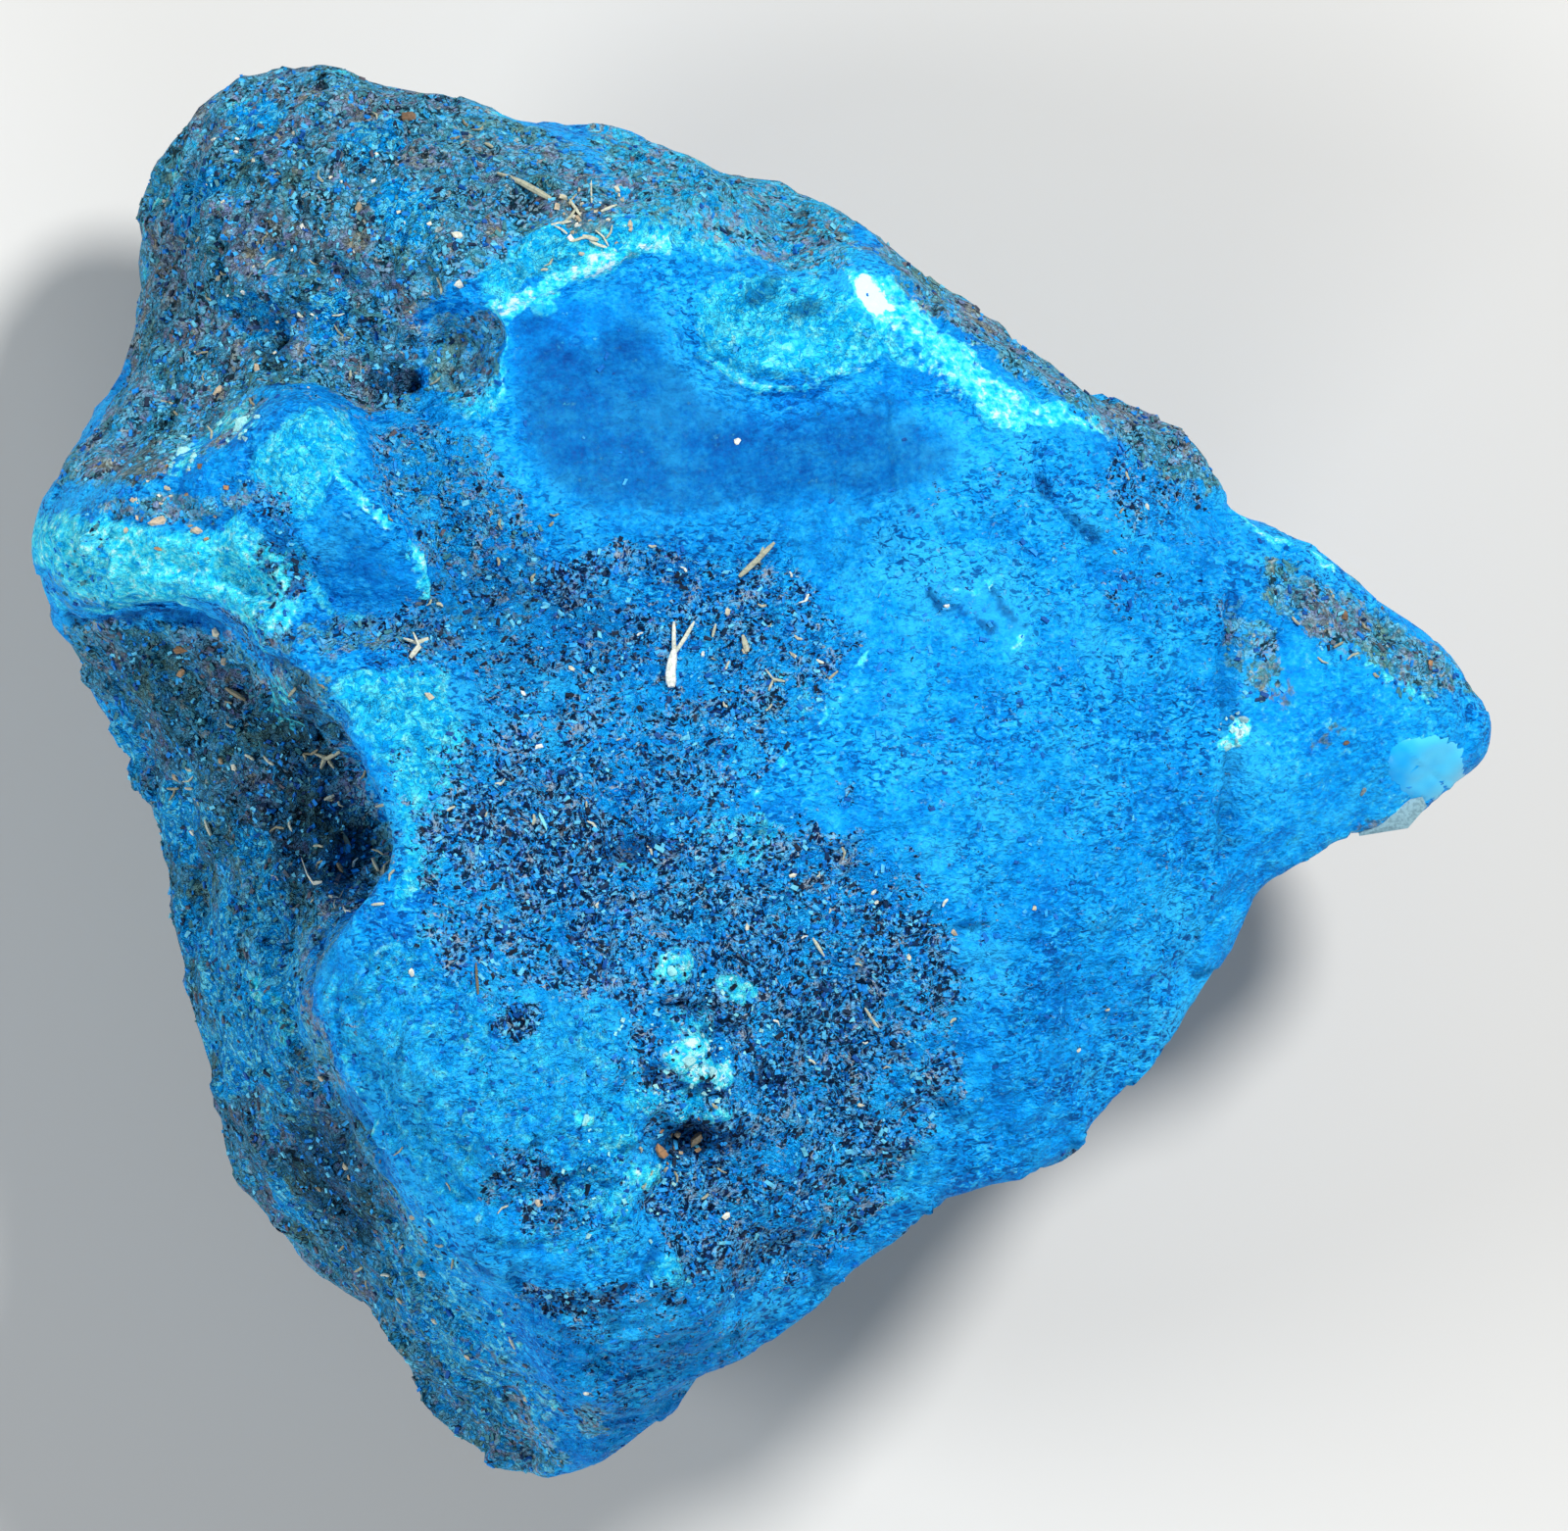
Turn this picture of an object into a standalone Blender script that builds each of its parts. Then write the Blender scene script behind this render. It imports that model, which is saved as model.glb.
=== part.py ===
"""Rough turquoise: one broken lump of natural stone, about 130 mm across.

The stone lies on its back with its broken face up. +X runs the long way, to the thin tip, +Y
runs to the crusted edge, and the origin is on the floor under the middle of the stone's box.
The places below are (x, y, z) in millimetres, z above the floor. A breakline is an edge or a
foot that can be followed on the stone. The skin is stretched over the breaklines, softened,
roughened as broken stone is, and cut flat where the stone rests.
"""
import random

import bpy
import bmesh
from mathutils import Vector, noise
from mathutils.geometry import delaunay_2d_cdt
from mathutils.kdtree import KDTree

# Driving dimensions, in metres
LENGTH = 0.1304
WIDTH = 0.1274
HEIGHT = 0.0800

MM = 0.001

# How the skin is made: two rounds of subdivision, an even step, and this many triangles at last
ROUNDING_LEVELS = 2
SKIN_STEP = 0.9 * MM
SKIN_EASING = 3
EASING_SHARE = 0.5
TRIANGLES = 9600
# Edges sharper than this angle, in radians, are folds, and are eased this often
FOLD_ANGLE = 1.75
FOLD_ROUNDS = 6
# Edges of the resting face shorter than this are merged
SHORT_EDGE = 0.3 * MM
# Outline points nearer than this, in millimetres, are one
POINT_REACH = 1e-5

# How sharp a breakline stays when the skin is softened: 0 is round, 1 is a knife edge
ROUND = 0.0
BLUNT = 0.35
CRISP = 0.75
SHARP = 1.0

# How far the two overhangs reach out over their feet, in millimetres
CAVE_UNDERCUT = Vector((4.2, 1.0, 0.0))
LEDGE_UNDERCUT = Vector((0.5, 2.6, 0.0))

# The outline seen from above, clockwise from the top of the lobe
RIM_CRUST = [
    (-41.0, 63.6, 31), (-34.2, 60.8, 34), (-27.0, 59.0, 36), (-20.0, 57.0, 37), (-13.6, 55.8, 38),
    (-7.8, 54.2, 39), (-2.6, 52.2, 39), (0.6, 50.0, 40), (6.2, 49.0, 41), (10.4, 46.6, 43),
    (14.6, 42.6, 45), (18.6, 39.4, 46), (25.4, 35.2, 47), (31.8, 31.0, 47), (37.8, 28.8, 46),
    (39.4, 25.6, 46), (41.0, 23.1, 46), (44.4, 21.8, 46), (50.2, 18.6, 45), (56.4, 15.0, 43),
]
RIM_TIP = [(60.6, 10.6, 42), (64.2, 6.4, 40), (65.3, 2.8, 39), (63.6, -0.6, 40), (59.2, -4.2, 41)]
RIM_EDGE = [
    (55.0, -5.6, 43), (50.2, -6.2, 46), (43.4, -10.4, 48), (41.0, -14.6, 49), (37.4, -21.8, 50),
    (31.6, -28.4, 51), (28.2, -32.4, 52), (18.4, -37.4, 53), (9.4, -42.8, 52), (0.6, -48.8, 50),
    (-7.6, -55.8, 44), (-13.4, -60.8, 37),
]
RIM_FLANK = [
    (-20.2, -63.8, 31), (-26.4, -60.1, 29), (-29.8, -56.8, 28), (-32.8, -50.4, 27),
    (-36.2, -46.0, 27), (-42.6, -40.9, 26), (-46.4, -37.2, 25), (-48.6, -31.0, 24),
    (-50.2, -23.6, 23), (-52.6, -14.6, 22), (-54.3, -7.4, 22), (-55.4, -2.8, 23),
    (-58.0, 2.0, 25), (-61.4, 10.0, 29), (-63.6, 15.0, 34),
]
RIM_LEDGE = [(-65.3, 18.8, 38), (-64.4, 22.6, 39), (-62.2, 24.7, 37), (-62.8, 27.0, 34)]
RIM_LOBE = [
    (-59.4, 31.2, 30), (-56.2, 36.4, 27), (-56.8, 40.2, 26), (-55.0, 46.2, 25), (-54.4, 51.4, 26),
    (-51.4, 57.0, 27), (-46.4, 60.6, 29),
]

# The broken main mass and the cave under its left crest
CREST = [
    (-39.0, 7.6, 71.5), (-36.2, 2.4, 74), (-33.6, -2.4, 75.5), (-32.0, -7.2, 76),
    (-34.2, -11.0, 75), (-38.2, -14.2, 72), (-39.7, -19.4, 70.5), (-38.2, -23.6, 70.5),
    (-34.4, -28.6, 71), (-32.0, -34.2, 69.5), (-28.2, -39.6, 66), (-23.8, -46.4, 60),
    (-20.4, -52.4, 53), (-17.6, -58.0, 44),
]
CAVE_FOOT = [
    (-41.6, 4.4, 59), (-38.6, 0.4, 53), (-36.0, -3.4, 50), (-34.6, -7.6, 51), (-37.0, -12.0, 57),
    (-41.0, -15.2, 61),
]
CREST_FOOT = [
    (-42.4, -20.2, 60), (-41.2, -25.4, 56), (-38.0, -31.2, 54), (-35.2, -36.6, 52),
    (-31.6, -41.0, 53), (-29.8, -46.0, 50), (-27.4, -51.2, 44), (-24.8, -56.6, 37),
]
BROW = [
    (-33.4, 7.6, 71), (-28.4, 1.0, 74.4), (-27.6, -6.6, 75.4), (-29.6, -13.6, 75.4),
    (-33.8, -19.0, 75),
]
FLANK_TOP = [(-45.4, -2.6, 48), (-41.6, -7.4, 51), (-45.0, -12.6, 49), (-46.0, -18.6, 47.5)]
FLANK_LOW = [
    (-54.8, 5.6, 38), (-51.2, -2.0, 37), (-50.6, -8.0, 35), (-49.4, -15.0, 36),
    (-47.6, -23.0, 38), (-45.8, -31.0, 36), (-41.0, -37.4, 37), (-35.2, -43.6, 37),
    (-31.0, -52.0, 34),
]
FLANK_DIP = [(-50.0, 8.6, 45), (-46.8, 4.4, 42), (-49.8, 1.6, 43)]
FLANK_MID = [(-43.2, -28.0, 48), (-40.0, -33.6, 46)]

# The ledge that juts out left of the main mass, and the knob and wedge at its inner end
LEDGE_EDGE = [
    (-62.0, 14.4, 42), (-58.6, 13.9, 52), (-55.2, 15.2, 57), (-51.0, 15.2, 60.5),
    (-48.2, 13.8, 63), (-45.4, 11.2, 65.5), (-42.4, 9.8, 68), (-39.0, 9.4, 70),
]
LEDGE_FOOT = [(-58.8, 11.6, 42), (-55.0, 12.8, 45), (-50.4, 12.6, 49), (-47.2, 10.0, 50), (-45.0, 7.0, 50)]
ROUGH_LUMP = [(-43.4, 7.6, 58), (-42.2, 5.4, 60)]
LEDGE_TOP = [(-61.0, 19.2, 55), (-56.0, 18.8, 62), (-51.0, 18.4, 65), (-46.8, 18.0, 66.4)]
LEDGE_GROOVE = [(-57.6, 22.3, 58), (-53.6, 22.1, 61), (-50.0, 21.7, 62.6), (-47.0, 22.8, 64.6)]
LEDGE_RIDGE = [
    (-61.0, 23.8, 50), (-57.2, 24.3, 58), (-53.2, 25.2, 62), (-49.4, 26.4, 64.4),
    (-46.4, 27.8, 66), (-44.8, 30.4, 66.4), (-42.2, 32.1, 67), (-39.0, 31.6, 67.4),
    (-36.2, 29.4, 67),
]
LEDGE_BACK = [
    (-58.6, 26.6, 47), (-53.8, 27.4, 50), (-49.2, 29.2, 52.5), (-46.8, 31.8, 53.5),
    (-43.0, 34.5, 53.5), (-38.4, 33.9, 52.5), (-35.4, 31.8, 54),
]
KNOB = [(-43.6, 25.6, 67.6), (-41.0, 28.8, 69.6)]
WEDGE_RIDGE = [(-37.6, 26.3, 72), (-33.8, 22.7, 70.5), (-30.2, 18.9, 69), (-29.8, 14.2, 67.5)]
WEDGE_BASE = [(-40.8, 20.6, 68.5), (-44.2, 14.6, 66), (-37.4, 13.2, 66), (-29.8, 14.2, 67.5)]
VALLEY = [(-33.6, 28.0, 62), (-30.4, 23.6, 62.5), (-27.2, 19.4, 64)]
SEAM = [(-38.0, 11.0, 68), (-31.0, 10.8, 67), (-24.0, 10.6, 66.5)]

# The rounded crusted lobe at the upper left, and the crusted band along the upper edge
LOBE_SHOULDER = [
    (-59.4, 28.8, 40), (-53.6, 34.6, 42), (-53.2, 41.0, 41), (-51.4, 47.0, 43),
    (-50.2, 53.6, 42), (-45.0, 58.0, 43), (-37.0, 59.2, 45), (-27.0, 56.6, 47),
    (-17.0, 54.2, 48), (-8.0, 52.2, 50), (-0.8, 49.6, 50),
]
LOBE_CROWN = [
    (-51.0, 32.2, 47), (-47.0, 39.0, 48), (-45.4, 46.0, 51), (-39.0, 52.6, 53),
    (-30.0, 52.0, 56), (-20.0, 49.8, 58.5), (-11.0, 49.4, 58.5),
]
LOBE_INNER = [(-41.4, 40.2, 52), (-36.8, 46.0, 56.5), (-30.4, 44.8, 59.5), (-25.2, 45.4, 61.5)]
LOBE_PIT = [(-43.8, 38.0, 46.5)]
POCKET_MOUTH = [
    (-34.0, 34.4, 53.5), (-33.4, 36.6, 54.5), (-30.6, 36.8, 54.5), (-29.6, 34.4, 54.5),
    (-31.0, 32.6, 55),
]
POCKET_FLOOR = [(-31.9, 34.6, 43)]

# The scooped basin, its lip, and the chips around it
RECESS_TOP = [(-34.6, 40.6, 56), (-29.6, 40.6, 58.5), (-23.6, 41.0, 61)]
RECESS_FLOOR = [(-28.2, 38.4, 54.5), (-24.6, 38.4, 55), (-24.8, 35.6, 55.5), (-27.6, 34.4, 56)]
BASIN_EDGE = [(-23.6, 41.0, 61), (-22.8, 37.4, 61), (-23.2, 33.6, 61), (-26.0, 31.4, 60.5)]
LIP = [(-23.6, 42.9, 63), (-20.6, 43.7, 64.4), (-16.6, 45.0, 65), (-12.8, 46.4, 65), (-9.4, 47.8, 64)]
LIP_FOOT = [(-21.2, 41.0, 61.6), (-17.6, 42.6, 61.6), (-13.4, 44.6, 61.4), (-9.4, 45.6, 61.2)]
SHELF_EDGE = [
    (-8.2, 39.6, 61.6), (-5.0, 36.7, 63.2), (-1.2, 34.5, 64), (3.4, 34.2, 64.4),
    (7.0, 35.8, 64.4), (11.6, 38.2, 63.6),
]
SHELF_FOOT = [(-6.4, 34.8, 60), (-1.6, 32.2, 60.2), (4.0, 32.0, 61), (9.4, 34.0, 62)]
SHELF_TOP = [(-4.4, 42.6, 62.6), (1.0, 39.6, 64.4), (5.4, 41.4, 63)]
BASIN = [
    (-18.4, 37.0, 60.4), (-12.6, 41.0, 60.6), (-12.0, 34.2, 59.4), (-17.0, 29.0, 60.2),
    (-7.4, 29.4, 59.6), (1.6, 27.0, 61.2), (-9.6, 22.6, 61.6), (10.8, 27.8, 63),
]
SCARP_IN = [
    (7.4, 43.4, 61.4), (12.0, 39.2, 62.6), (15.8, 34.8, 63), (19.6, 31.2, 63), (24.4, 29.8, 62),
    (30.6, 28.8, 58.6),
]
SCARP_OUT = [
    (7.4, 46.2, 56.5), (12.9, 42.4, 57.8), (17.4, 37.8, 58.2), (22.8, 34.8, 57),
    (28.4, 32.4, 54.6), (32.4, 29.8, 53.4), (37.2, 25.4, 52.5),
]

# The broad sloping face right of the basin, down to the thin tip
SPINE = [
    (14.4, 16.2, 68), (10.0, 11.6, 69.2), (6.0, 5.4, 70.8), (2.0, 1.4, 71.6), (-2.2, -3.4, 72),
    (-6.0, -5.4, 71),
]
HOLLOW = [(-16.4, 15.6, 64), (-8.6, 11.4, 65.4), (-1.6, 10.0, 66.4), (-2.0, 17.4, 63.6)]
SLOPE = [
    (18.4, 22.6, 65.4), (24.0, 16.0, 65), (31.0, 20.0, 60.6), (17.0, 4.0, 69),
    (26.0, 6.0, 65), (33.4, 10.0, 61), (15.0, -6.0, 69.4), (25.0, -6.0, 65.4),
    (33.4, -3.0, 61), (32.4, -14.0, 59.6), (24.0, -17.0, 63.4), (17.0, -22.0, 64.6),
]
WAIST_GROOVE = [(38.4, 19.6, 54), (41.6, 13.6, 55), (41.2, 7.0, 56.4), (41.4, 0.0, 56.4), (40.4, -6.4, 54.6)]
TIP_FACE = [(47.0, 8.6, 55.4), (47.6, 1.4, 54.8), (47.0, -4.6, 52), (54.0, 3.6, 51.6), (59.6, 1.4, 48.4)]
TIP_CRUST = [(44.6, 18.0, 52.4), (50.0, 13.4, 53.4), (55.0, 9.6, 51.6), (60.6, 6.4, 47.4)]
STAIN = [(4.4, -8.4, 69), (9.6, -13.4, 67.4), (5.0, -19.6, 65.6), (8.4, -26.6, 63.8), (0.4, -26.8, 65)]
CHIN = [(25.4, -28.2, 58.6), (15.6, -31.6, 60.6), (7.4, -36.4, 60.4), (0.6, -40.8, 61)]

# The bulge in the lower left, its step, the nodules beside it and the shelf under it
MASS = [
    (-22.0, 4.6, 69.6), (-15.0, 2.0, 70), (-20.4, -5.0, 73), (-11.0, -8.4, 70.6),
    (-22.0, -14.2, 74.4), (-15.4, -15.4, 72.6), (-3.4, -11.6, 69.4),
]
BULGE = [
    (-31.8, -24.6, 76.6), (-26.0, -22.6, 78.6), (-18.2, -22.4, 78.4), (-13.0, -25.6, 77),
    (-27.4, -31.6, 77.6), (-19.6, -32.0, 79), (-13.0, -34.0, 75.6), (-23.4, -38.0, 75.6),
    (-16.4, -39.4, 75),
]
BULGE_STEP = [
    (-26.0, -41.2, 71), (-21.6, -44.0, 71), (-16.4, -45.8, 70.2), (-11.6, -45.2, 69.2),
    (-9.4, -41.6, 69.4),
]
STEP_FOOT = [(-23.4, -44.0, 66.4), (-20.4, -46.6, 66.2), (-15.6, -48.2, 65.4), (-10.2, -47.2, 64.4)]
NODULES = [(-8.2, -17.6, 74.6), (-2.8, -19.0, 71.6), (-6.4, -25.0, 75), (-5.6, -29.8, 74)]
NODULE_GAPS = [(-5.4, -20.8, 70), (-9.8, -29.0, 73), (-7.8, -33.0, 67), (-1.6, -31.6, 66.6)]
LUMP = [(-8.0, -44.4, 68.6), (-4.0, -37.4, 66.4), (-4.6, -43.4, 64.6)]
SHELF_LOW = [(-18.0, -51.6, 60.6), (-11.0, -51.8, 59.4), (-3.6, -47.6, 60.4), (-14.4, -56.0, 52)]

# The hidden back: a waist of broken corners under the outline, and the face that it rests on
BACK_WAIST = [
    (-48.6, 37.0, 12), (-40.0, 55.0, 21), (-18.0, 47.0, 12), (4.0, 43.0, 27), (24.0, 28.0, 19),
    (44.0, 16.6, 30), (55.6, 5.4, 26), (42.6, -4.6, 30), (35.0, -18.0, 20), (17.0, -33.0, 32),
    (-2.0, -43.0, 20), (-17.0, -56.0, 21), (-31.0, -45.0, 9), (-43.0, -32.0, 13),
    (-46.0, -14.0, 6), (-53.0, 6.0, 14), (-57.0, 21.0, 20),
]
BASE_Z = -3.5
BASE_CORNERS = [
    (-34.0, 24.0), (-12.0, 34.0), (12.0, 25.0), (30.0, 5.0), (23.0, -14.0), (2.0, -25.0),
    (-20.0, -34.0), (-37.0, -15.0), (-40.0, 6.0),
]
# Its broken edges: the place on the outline, then how far round the waist and the base they go
BACK_RIDGES = [
    (RIM_CRUST[0], 1, 0), (RIM_CRUST[8], 3, 2), (RIM_CRUST[18], 5, 3), (RIM_TIP[2], 6, 3),
    (RIM_EDGE[4], 8, 4), (RIM_EDGE[7], 9, 5), (RIM_FLANK[0], 11, 6), (RIM_FLANK[5], 12, 6),
    (RIM_FLANK[9], 14, 7), (RIM_LEDGE[0], 16, 8),
]

RIM = RIM_CRUST + RIM_TIP + RIM_EDGE + RIM_FLANK + RIM_LEDGE + RIM_LOBE

# Each breakline of the broken face and how sharp it stays
FRONT_LINES = [
    (CREST, SHARP), (CAVE_FOOT, BLUNT), (CREST_FOOT, BLUNT), (BROW, ROUND), (FLANK_TOP, ROUND),
    (FLANK_LOW, ROUND), (FLANK_MID, ROUND), (LEDGE_EDGE, SHARP), (LEDGE_FOOT, BLUNT),
    (LEDGE_TOP, ROUND), (LEDGE_GROOVE, CRISP), (LEDGE_RIDGE, CRISP), (LEDGE_BACK, BLUNT),
    (KNOB, ROUND), (WEDGE_RIDGE, SHARP), (WEDGE_BASE, CRISP), (VALLEY, ROUND), (SEAM, BLUNT),
    (LOBE_SHOULDER, ROUND), (LOBE_CROWN, ROUND), (LOBE_INNER, ROUND), (POCKET_MOUTH, CRISP),
    (RECESS_TOP, CRISP), (RECESS_FLOOR, BLUNT), (BASIN_EDGE, SHARP), (LIP, SHARP),
    (LIP_FOOT, CRISP), (SHELF_EDGE, SHARP), (SHELF_FOOT, BLUNT), (SCARP_IN, SHARP),
    (SCARP_OUT, SHARP), (SPINE, CRISP), (WAIST_GROOVE, BLUNT), (TIP_CRUST, CRISP),
    (BULGE_STEP, CRISP), (STEP_FOOT, BLUNT), (CHIN, ROUND), (FLANK_DIP, ROUND),
]
# Tops and hollows that stand alone
FRONT_SPOTS = [
    ROUGH_LUMP, LOBE_PIT, POCKET_FLOOR, SHELF_TOP, BASIN, HOLLOW, SLOPE, TIP_FACE, STAIN, MASS,
    BULGE, NODULES, NODULE_GAPS, LUMP, SHELF_LOW,
]
OVERHANGS = [(CAVE_FOOT, CAVE_UNDERCUT), (LEDGE_FOOT, LEDGE_UNDERCUT)]

# Roughness of the broken skin: (size of the lumps, their height), in millimetres
SKIN_WAVES = [(16.0, 1.1), (8.0, 1.2), (4.4, 0.4)]
SEED_STEP = Vector((31.7, 12.3, 5.9))
# The smoothly broken stretches of the face: (x, y, reach, roughness left there)
CALM_STRETCHES = [
    (-4.0, 30.0, 24.0, 0.2), (24.0, 4.0, 32.0, 0.4), (50.0, 2.0, 16.0, 0.5),
    (-18.0, -2.0, 26.0, 0.4), (-36.0, 19.0, 11.0, 0.2), (-42.0, 28.0, 9.0, 0.4),
    (16.0, 38.0, 12.0, 0.3), (-16.0, 44.0, 9.0, 0.4),
]

# The broken facets of the hidden back: how many, how flat, how far below the outline they are
# whole, in millimetres, and how often their edges are eased
BACK_FACETS = 60
FACET_FLATNESS = 0.8
FACET_REACH = 12.0
FACET_SEED = 11
FACET_EASING = 3


class Skin:
    """Collects the points and breaklines of one side, seen from above, and triangulates them."""

    def __init__(self):
        self.points = []
        self.edges = {}

    def point(self, place):
        if place not in self.points:
            self.points.append(place)
        return self.points.index(place)

    def line(self, places, sharpness, closed=False):
        ids = [self.point(place) for place in places]
        ends = ids[1:] + ids[:1] if closed else ids[1:]
        for start, end in zip(ids, ends):
            self.edges[(start, end)] = sharpness

    def triangles(self):
        plan = [Vector(place[:2]) for place in self.points]
        found = delaunay_2d_cdt(plan, list(self.edges), [], 1, POINT_REACH)
        kept = [origin[0] for origin in found[3]]
        if len(found[0]) != len(self.points):
            raise ValueError("two breaklines cross or a point is repeated")
        return [[kept[corner] for corner in face] for face in found[2]]


def front_skin():
    skin = Skin()
    skin.line(RIM, BLUNT, closed=True)
    skin.line([RIM_TIP[-1]] + RIM_EDGE, SHARP)
    for places, sharpness in FRONT_LINES:
        skin.line(places, sharpness)
    for places in FRONT_SPOTS:
        for place in places:
            skin.point(place)
    return skin


def back_skin():
    skin = Skin()
    skin.line(RIM, BLUNT, closed=True)
    skin.line(BACK_WAIST, CRISP, closed=True)
    base = [corner + (BASE_Z,) for corner in BASE_CORNERS]
    skin.line(base, CRISP, closed=True)
    for outline_place, waist_corner, base_corner in BACK_RIDGES:
        skin.line([outline_place, BACK_WAIST[waist_corner], base[base_corner]], SHARP)
    return skin


def add_skin(form, rim, skin, upward):
    """Put one side's faces in the form, on the rim's shared vertices."""
    count = len(RIM)
    vertices = rim + [form.verts.new(place) for place in skin.points[count:]]
    for face in skin.triangles():
        corners = [vertices[index] for index in face]
        form.faces.new(corners if upward else reversed(corners))
    crease = form.edges.layers.float["crease_edge"]
    for (start, end), sharpness in skin.edges.items():
        edge = form.edges.get((vertices[start], vertices[end]))
        edge[crease] = max(edge[crease], sharpness)
    return vertices


def stone_cage():
    """The stone's coarse cage, in millimetres."""
    form = bmesh.new()
    form.edges.layers.float.new("crease_edge")
    rim = [form.verts.new(place) for place in RIM]
    front = front_skin()
    vertices = add_skin(form, rim, front, True)
    add_skin(form, rim, back_skin(), False)
    for foot, undercut in OVERHANGS:
        for place in foot:
            vertices[front.point(place)].co += undercut
    bmesh.ops.recalc_face_normals(form, faces=form.faces)
    bmesh.ops.scale(form, vec=(MM, MM, MM), verts=form.verts)
    return form


def evaluated_mesh(piece):
    graph = bpy.context.evaluated_depsgraph_get()
    return bpy.data.meshes.new_from_object(piece.evaluated_get(graph))


def soften(piece):
    """Round the cage between its creases and give it an even, closed skin."""
    rounding = piece.modifiers.new("Rounding", "SUBSURF")
    rounding.levels = ROUNDING_LEVELS
    rounding.render_levels = ROUNDING_LEVELS
    skin = piece.modifiers.new("Skin", "REMESH")
    skin.mode = "VOXEL"
    skin.voxel_size = SKIN_STEP
    evening = piece.modifiers.new("Evening", "SMOOTH")
    evening.factor = EASING_SHARE
    evening.iterations = SKIN_EASING
    piece.data = evaluated_mesh(piece)
    piece.modifiers.clear()


def nearest_of(places):
    tree = KDTree(len(places))
    for index, place in enumerate(places):
        tree.insert(place, index)
    tree.balance()
    return tree


def ease(form, vertices):
    bmesh.ops.smooth_vert(
        form, verts=vertices, factor=EASING_SHARE,
        use_axis_x=True, use_axis_y=True, use_axis_z=True)


def break_back(mesh):
    """Flatten the hidden back into facets, each on the plane of its own middle."""
    form = bmesh.new()
    form.from_mesh(mesh)
    form.normal_update()
    outline = nearest_of([Vector(place) * MM for place in RIM])
    back = []
    for vertex in form.verts:
        place, _, distance = outline.find(vertex.co)
        if vertex.co.z < place.z and vertex.normal.z < 0.0:
            back.append((vertex, min(1.0, distance / (FACET_REACH * MM))))
    middles = [vertex for vertex, _ in random.Random(FACET_SEED).sample(back, BACK_FACETS)]
    planes = [(middle.co.copy(), middle.normal.copy()) for middle in middles]
    facets = nearest_of([place for place, _ in planes])
    for vertex, share in back:
        place, facing = planes[facets.find(vertex.co)[1]]
        vertex.co += facing * facing.dot(place - vertex.co) * FACET_FLATNESS * share
    for _ in range(FACET_EASING):
        ease(form, [vertex for vertex, _ in back])
    form.to_mesh(mesh)
    form.free()


def roughness_at(vertex):
    """How much of the roughness a point takes: all of it, or less on the calm stretches."""
    share = 1.0
    if vertex.normal.z > 0.0:
        for x, y, reach, left in CALM_STRETCHES:
            distance = (vertex.co.xy / MM - Vector((x, y))).length / reach
            blend = min(1.0, max(0.0, 2.0 * distance - 1.0))
            share = min(share, left + (1.0 - left) * blend)
    return share


def roughen(mesh):
    """Push the skin in and out along its normals, as broken stone is."""
    form = bmesh.new()
    form.from_mesh(mesh)
    form.normal_update()
    for vertex in form.verts:
        height = 0.0
        for index, (size, depth) in enumerate(SKIN_WAVES):
            place = vertex.co / (size * MM) + SEED_STEP * index
            height += depth * MM * noise.noise(place)
        vertex.co += vertex.normal * height * roughness_at(vertex)
    form.to_mesh(mesh)
    form.free()


def thin_out(piece):
    """Bring the skin down to the triangles that its shape needs."""
    piece.data.calc_loop_triangles()
    fewer = piece.modifiers.new("Fewer", "DECIMATE")
    fewer.ratio = TRIANGLES / len(piece.data.loop_triangles)
    piece.data = evaluated_mesh(piece)
    piece.modifiers.clear()


def ease_folds(mesh):
    """Relax the few corners where thinning has folded the skin back on itself."""
    form = bmesh.new()
    form.from_mesh(mesh)
    for _ in range(FOLD_ROUNDS):
        form.normal_update()
        folded = [edge for edge in form.edges if edge.calc_face_angle(0.0) > FOLD_ANGLE]
        ease(form, list({corner for edge in folded for corner in edge.verts}))
    form.to_mesh(mesh)
    form.free()


def seat(mesh):
    """Cut the resting face flat, and bring the stone to its size over the origin."""
    form = bmesh.new()
    form.from_mesh(mesh)
    whole = form.verts[:] + form.edges[:] + form.faces[:]
    bmesh.ops.bisect_plane(form, geom=whole, plane_no=(0, 0, 1), clear_inner=True)
    border = [edge for edge in form.edges if edge.is_boundary]
    bmesh.ops.dissolve_degenerate(form, edges=border, dist=SHORT_EDGE)
    border = [edge for edge in form.edges if edge.is_boundary]
    bmesh.ops.contextual_create(form, geom=border)
    bmesh.ops.triangulate(form, faces=form.faces)
    low = Vector([min(vertex.co[axis] for vertex in form.verts) for axis in range(3)])
    high = Vector([max(vertex.co[axis] for vertex in form.verts) for axis in range(3)])
    middle = Vector(((low.x + high.x) / 2, (low.y + high.y) / 2, 0.0))
    bmesh.ops.translate(form, vec=-middle, verts=form.verts)
    fit = (LENGTH / (high.x - low.x), WIDTH / (high.y - low.y), HEIGHT / high.z)
    bmesh.ops.scale(form, vec=fit, verts=form.verts)
    form.to_mesh(mesh)
    form.free()


def turquoise():
    """Azure blue stone, dull as it was broken."""
    material = bpy.data.materials.new("turquoise")
    material.use_nodes = True
    shader = material.node_tree.nodes["Principled BSDF"]
    shader.inputs["Base Color"].default_value = (0.0, 0.22, 0.62, 1.0)
    shader.inputs["Roughness"].default_value = 0.6
    shader.inputs["Metallic"].default_value = 0.0
    return material


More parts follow.
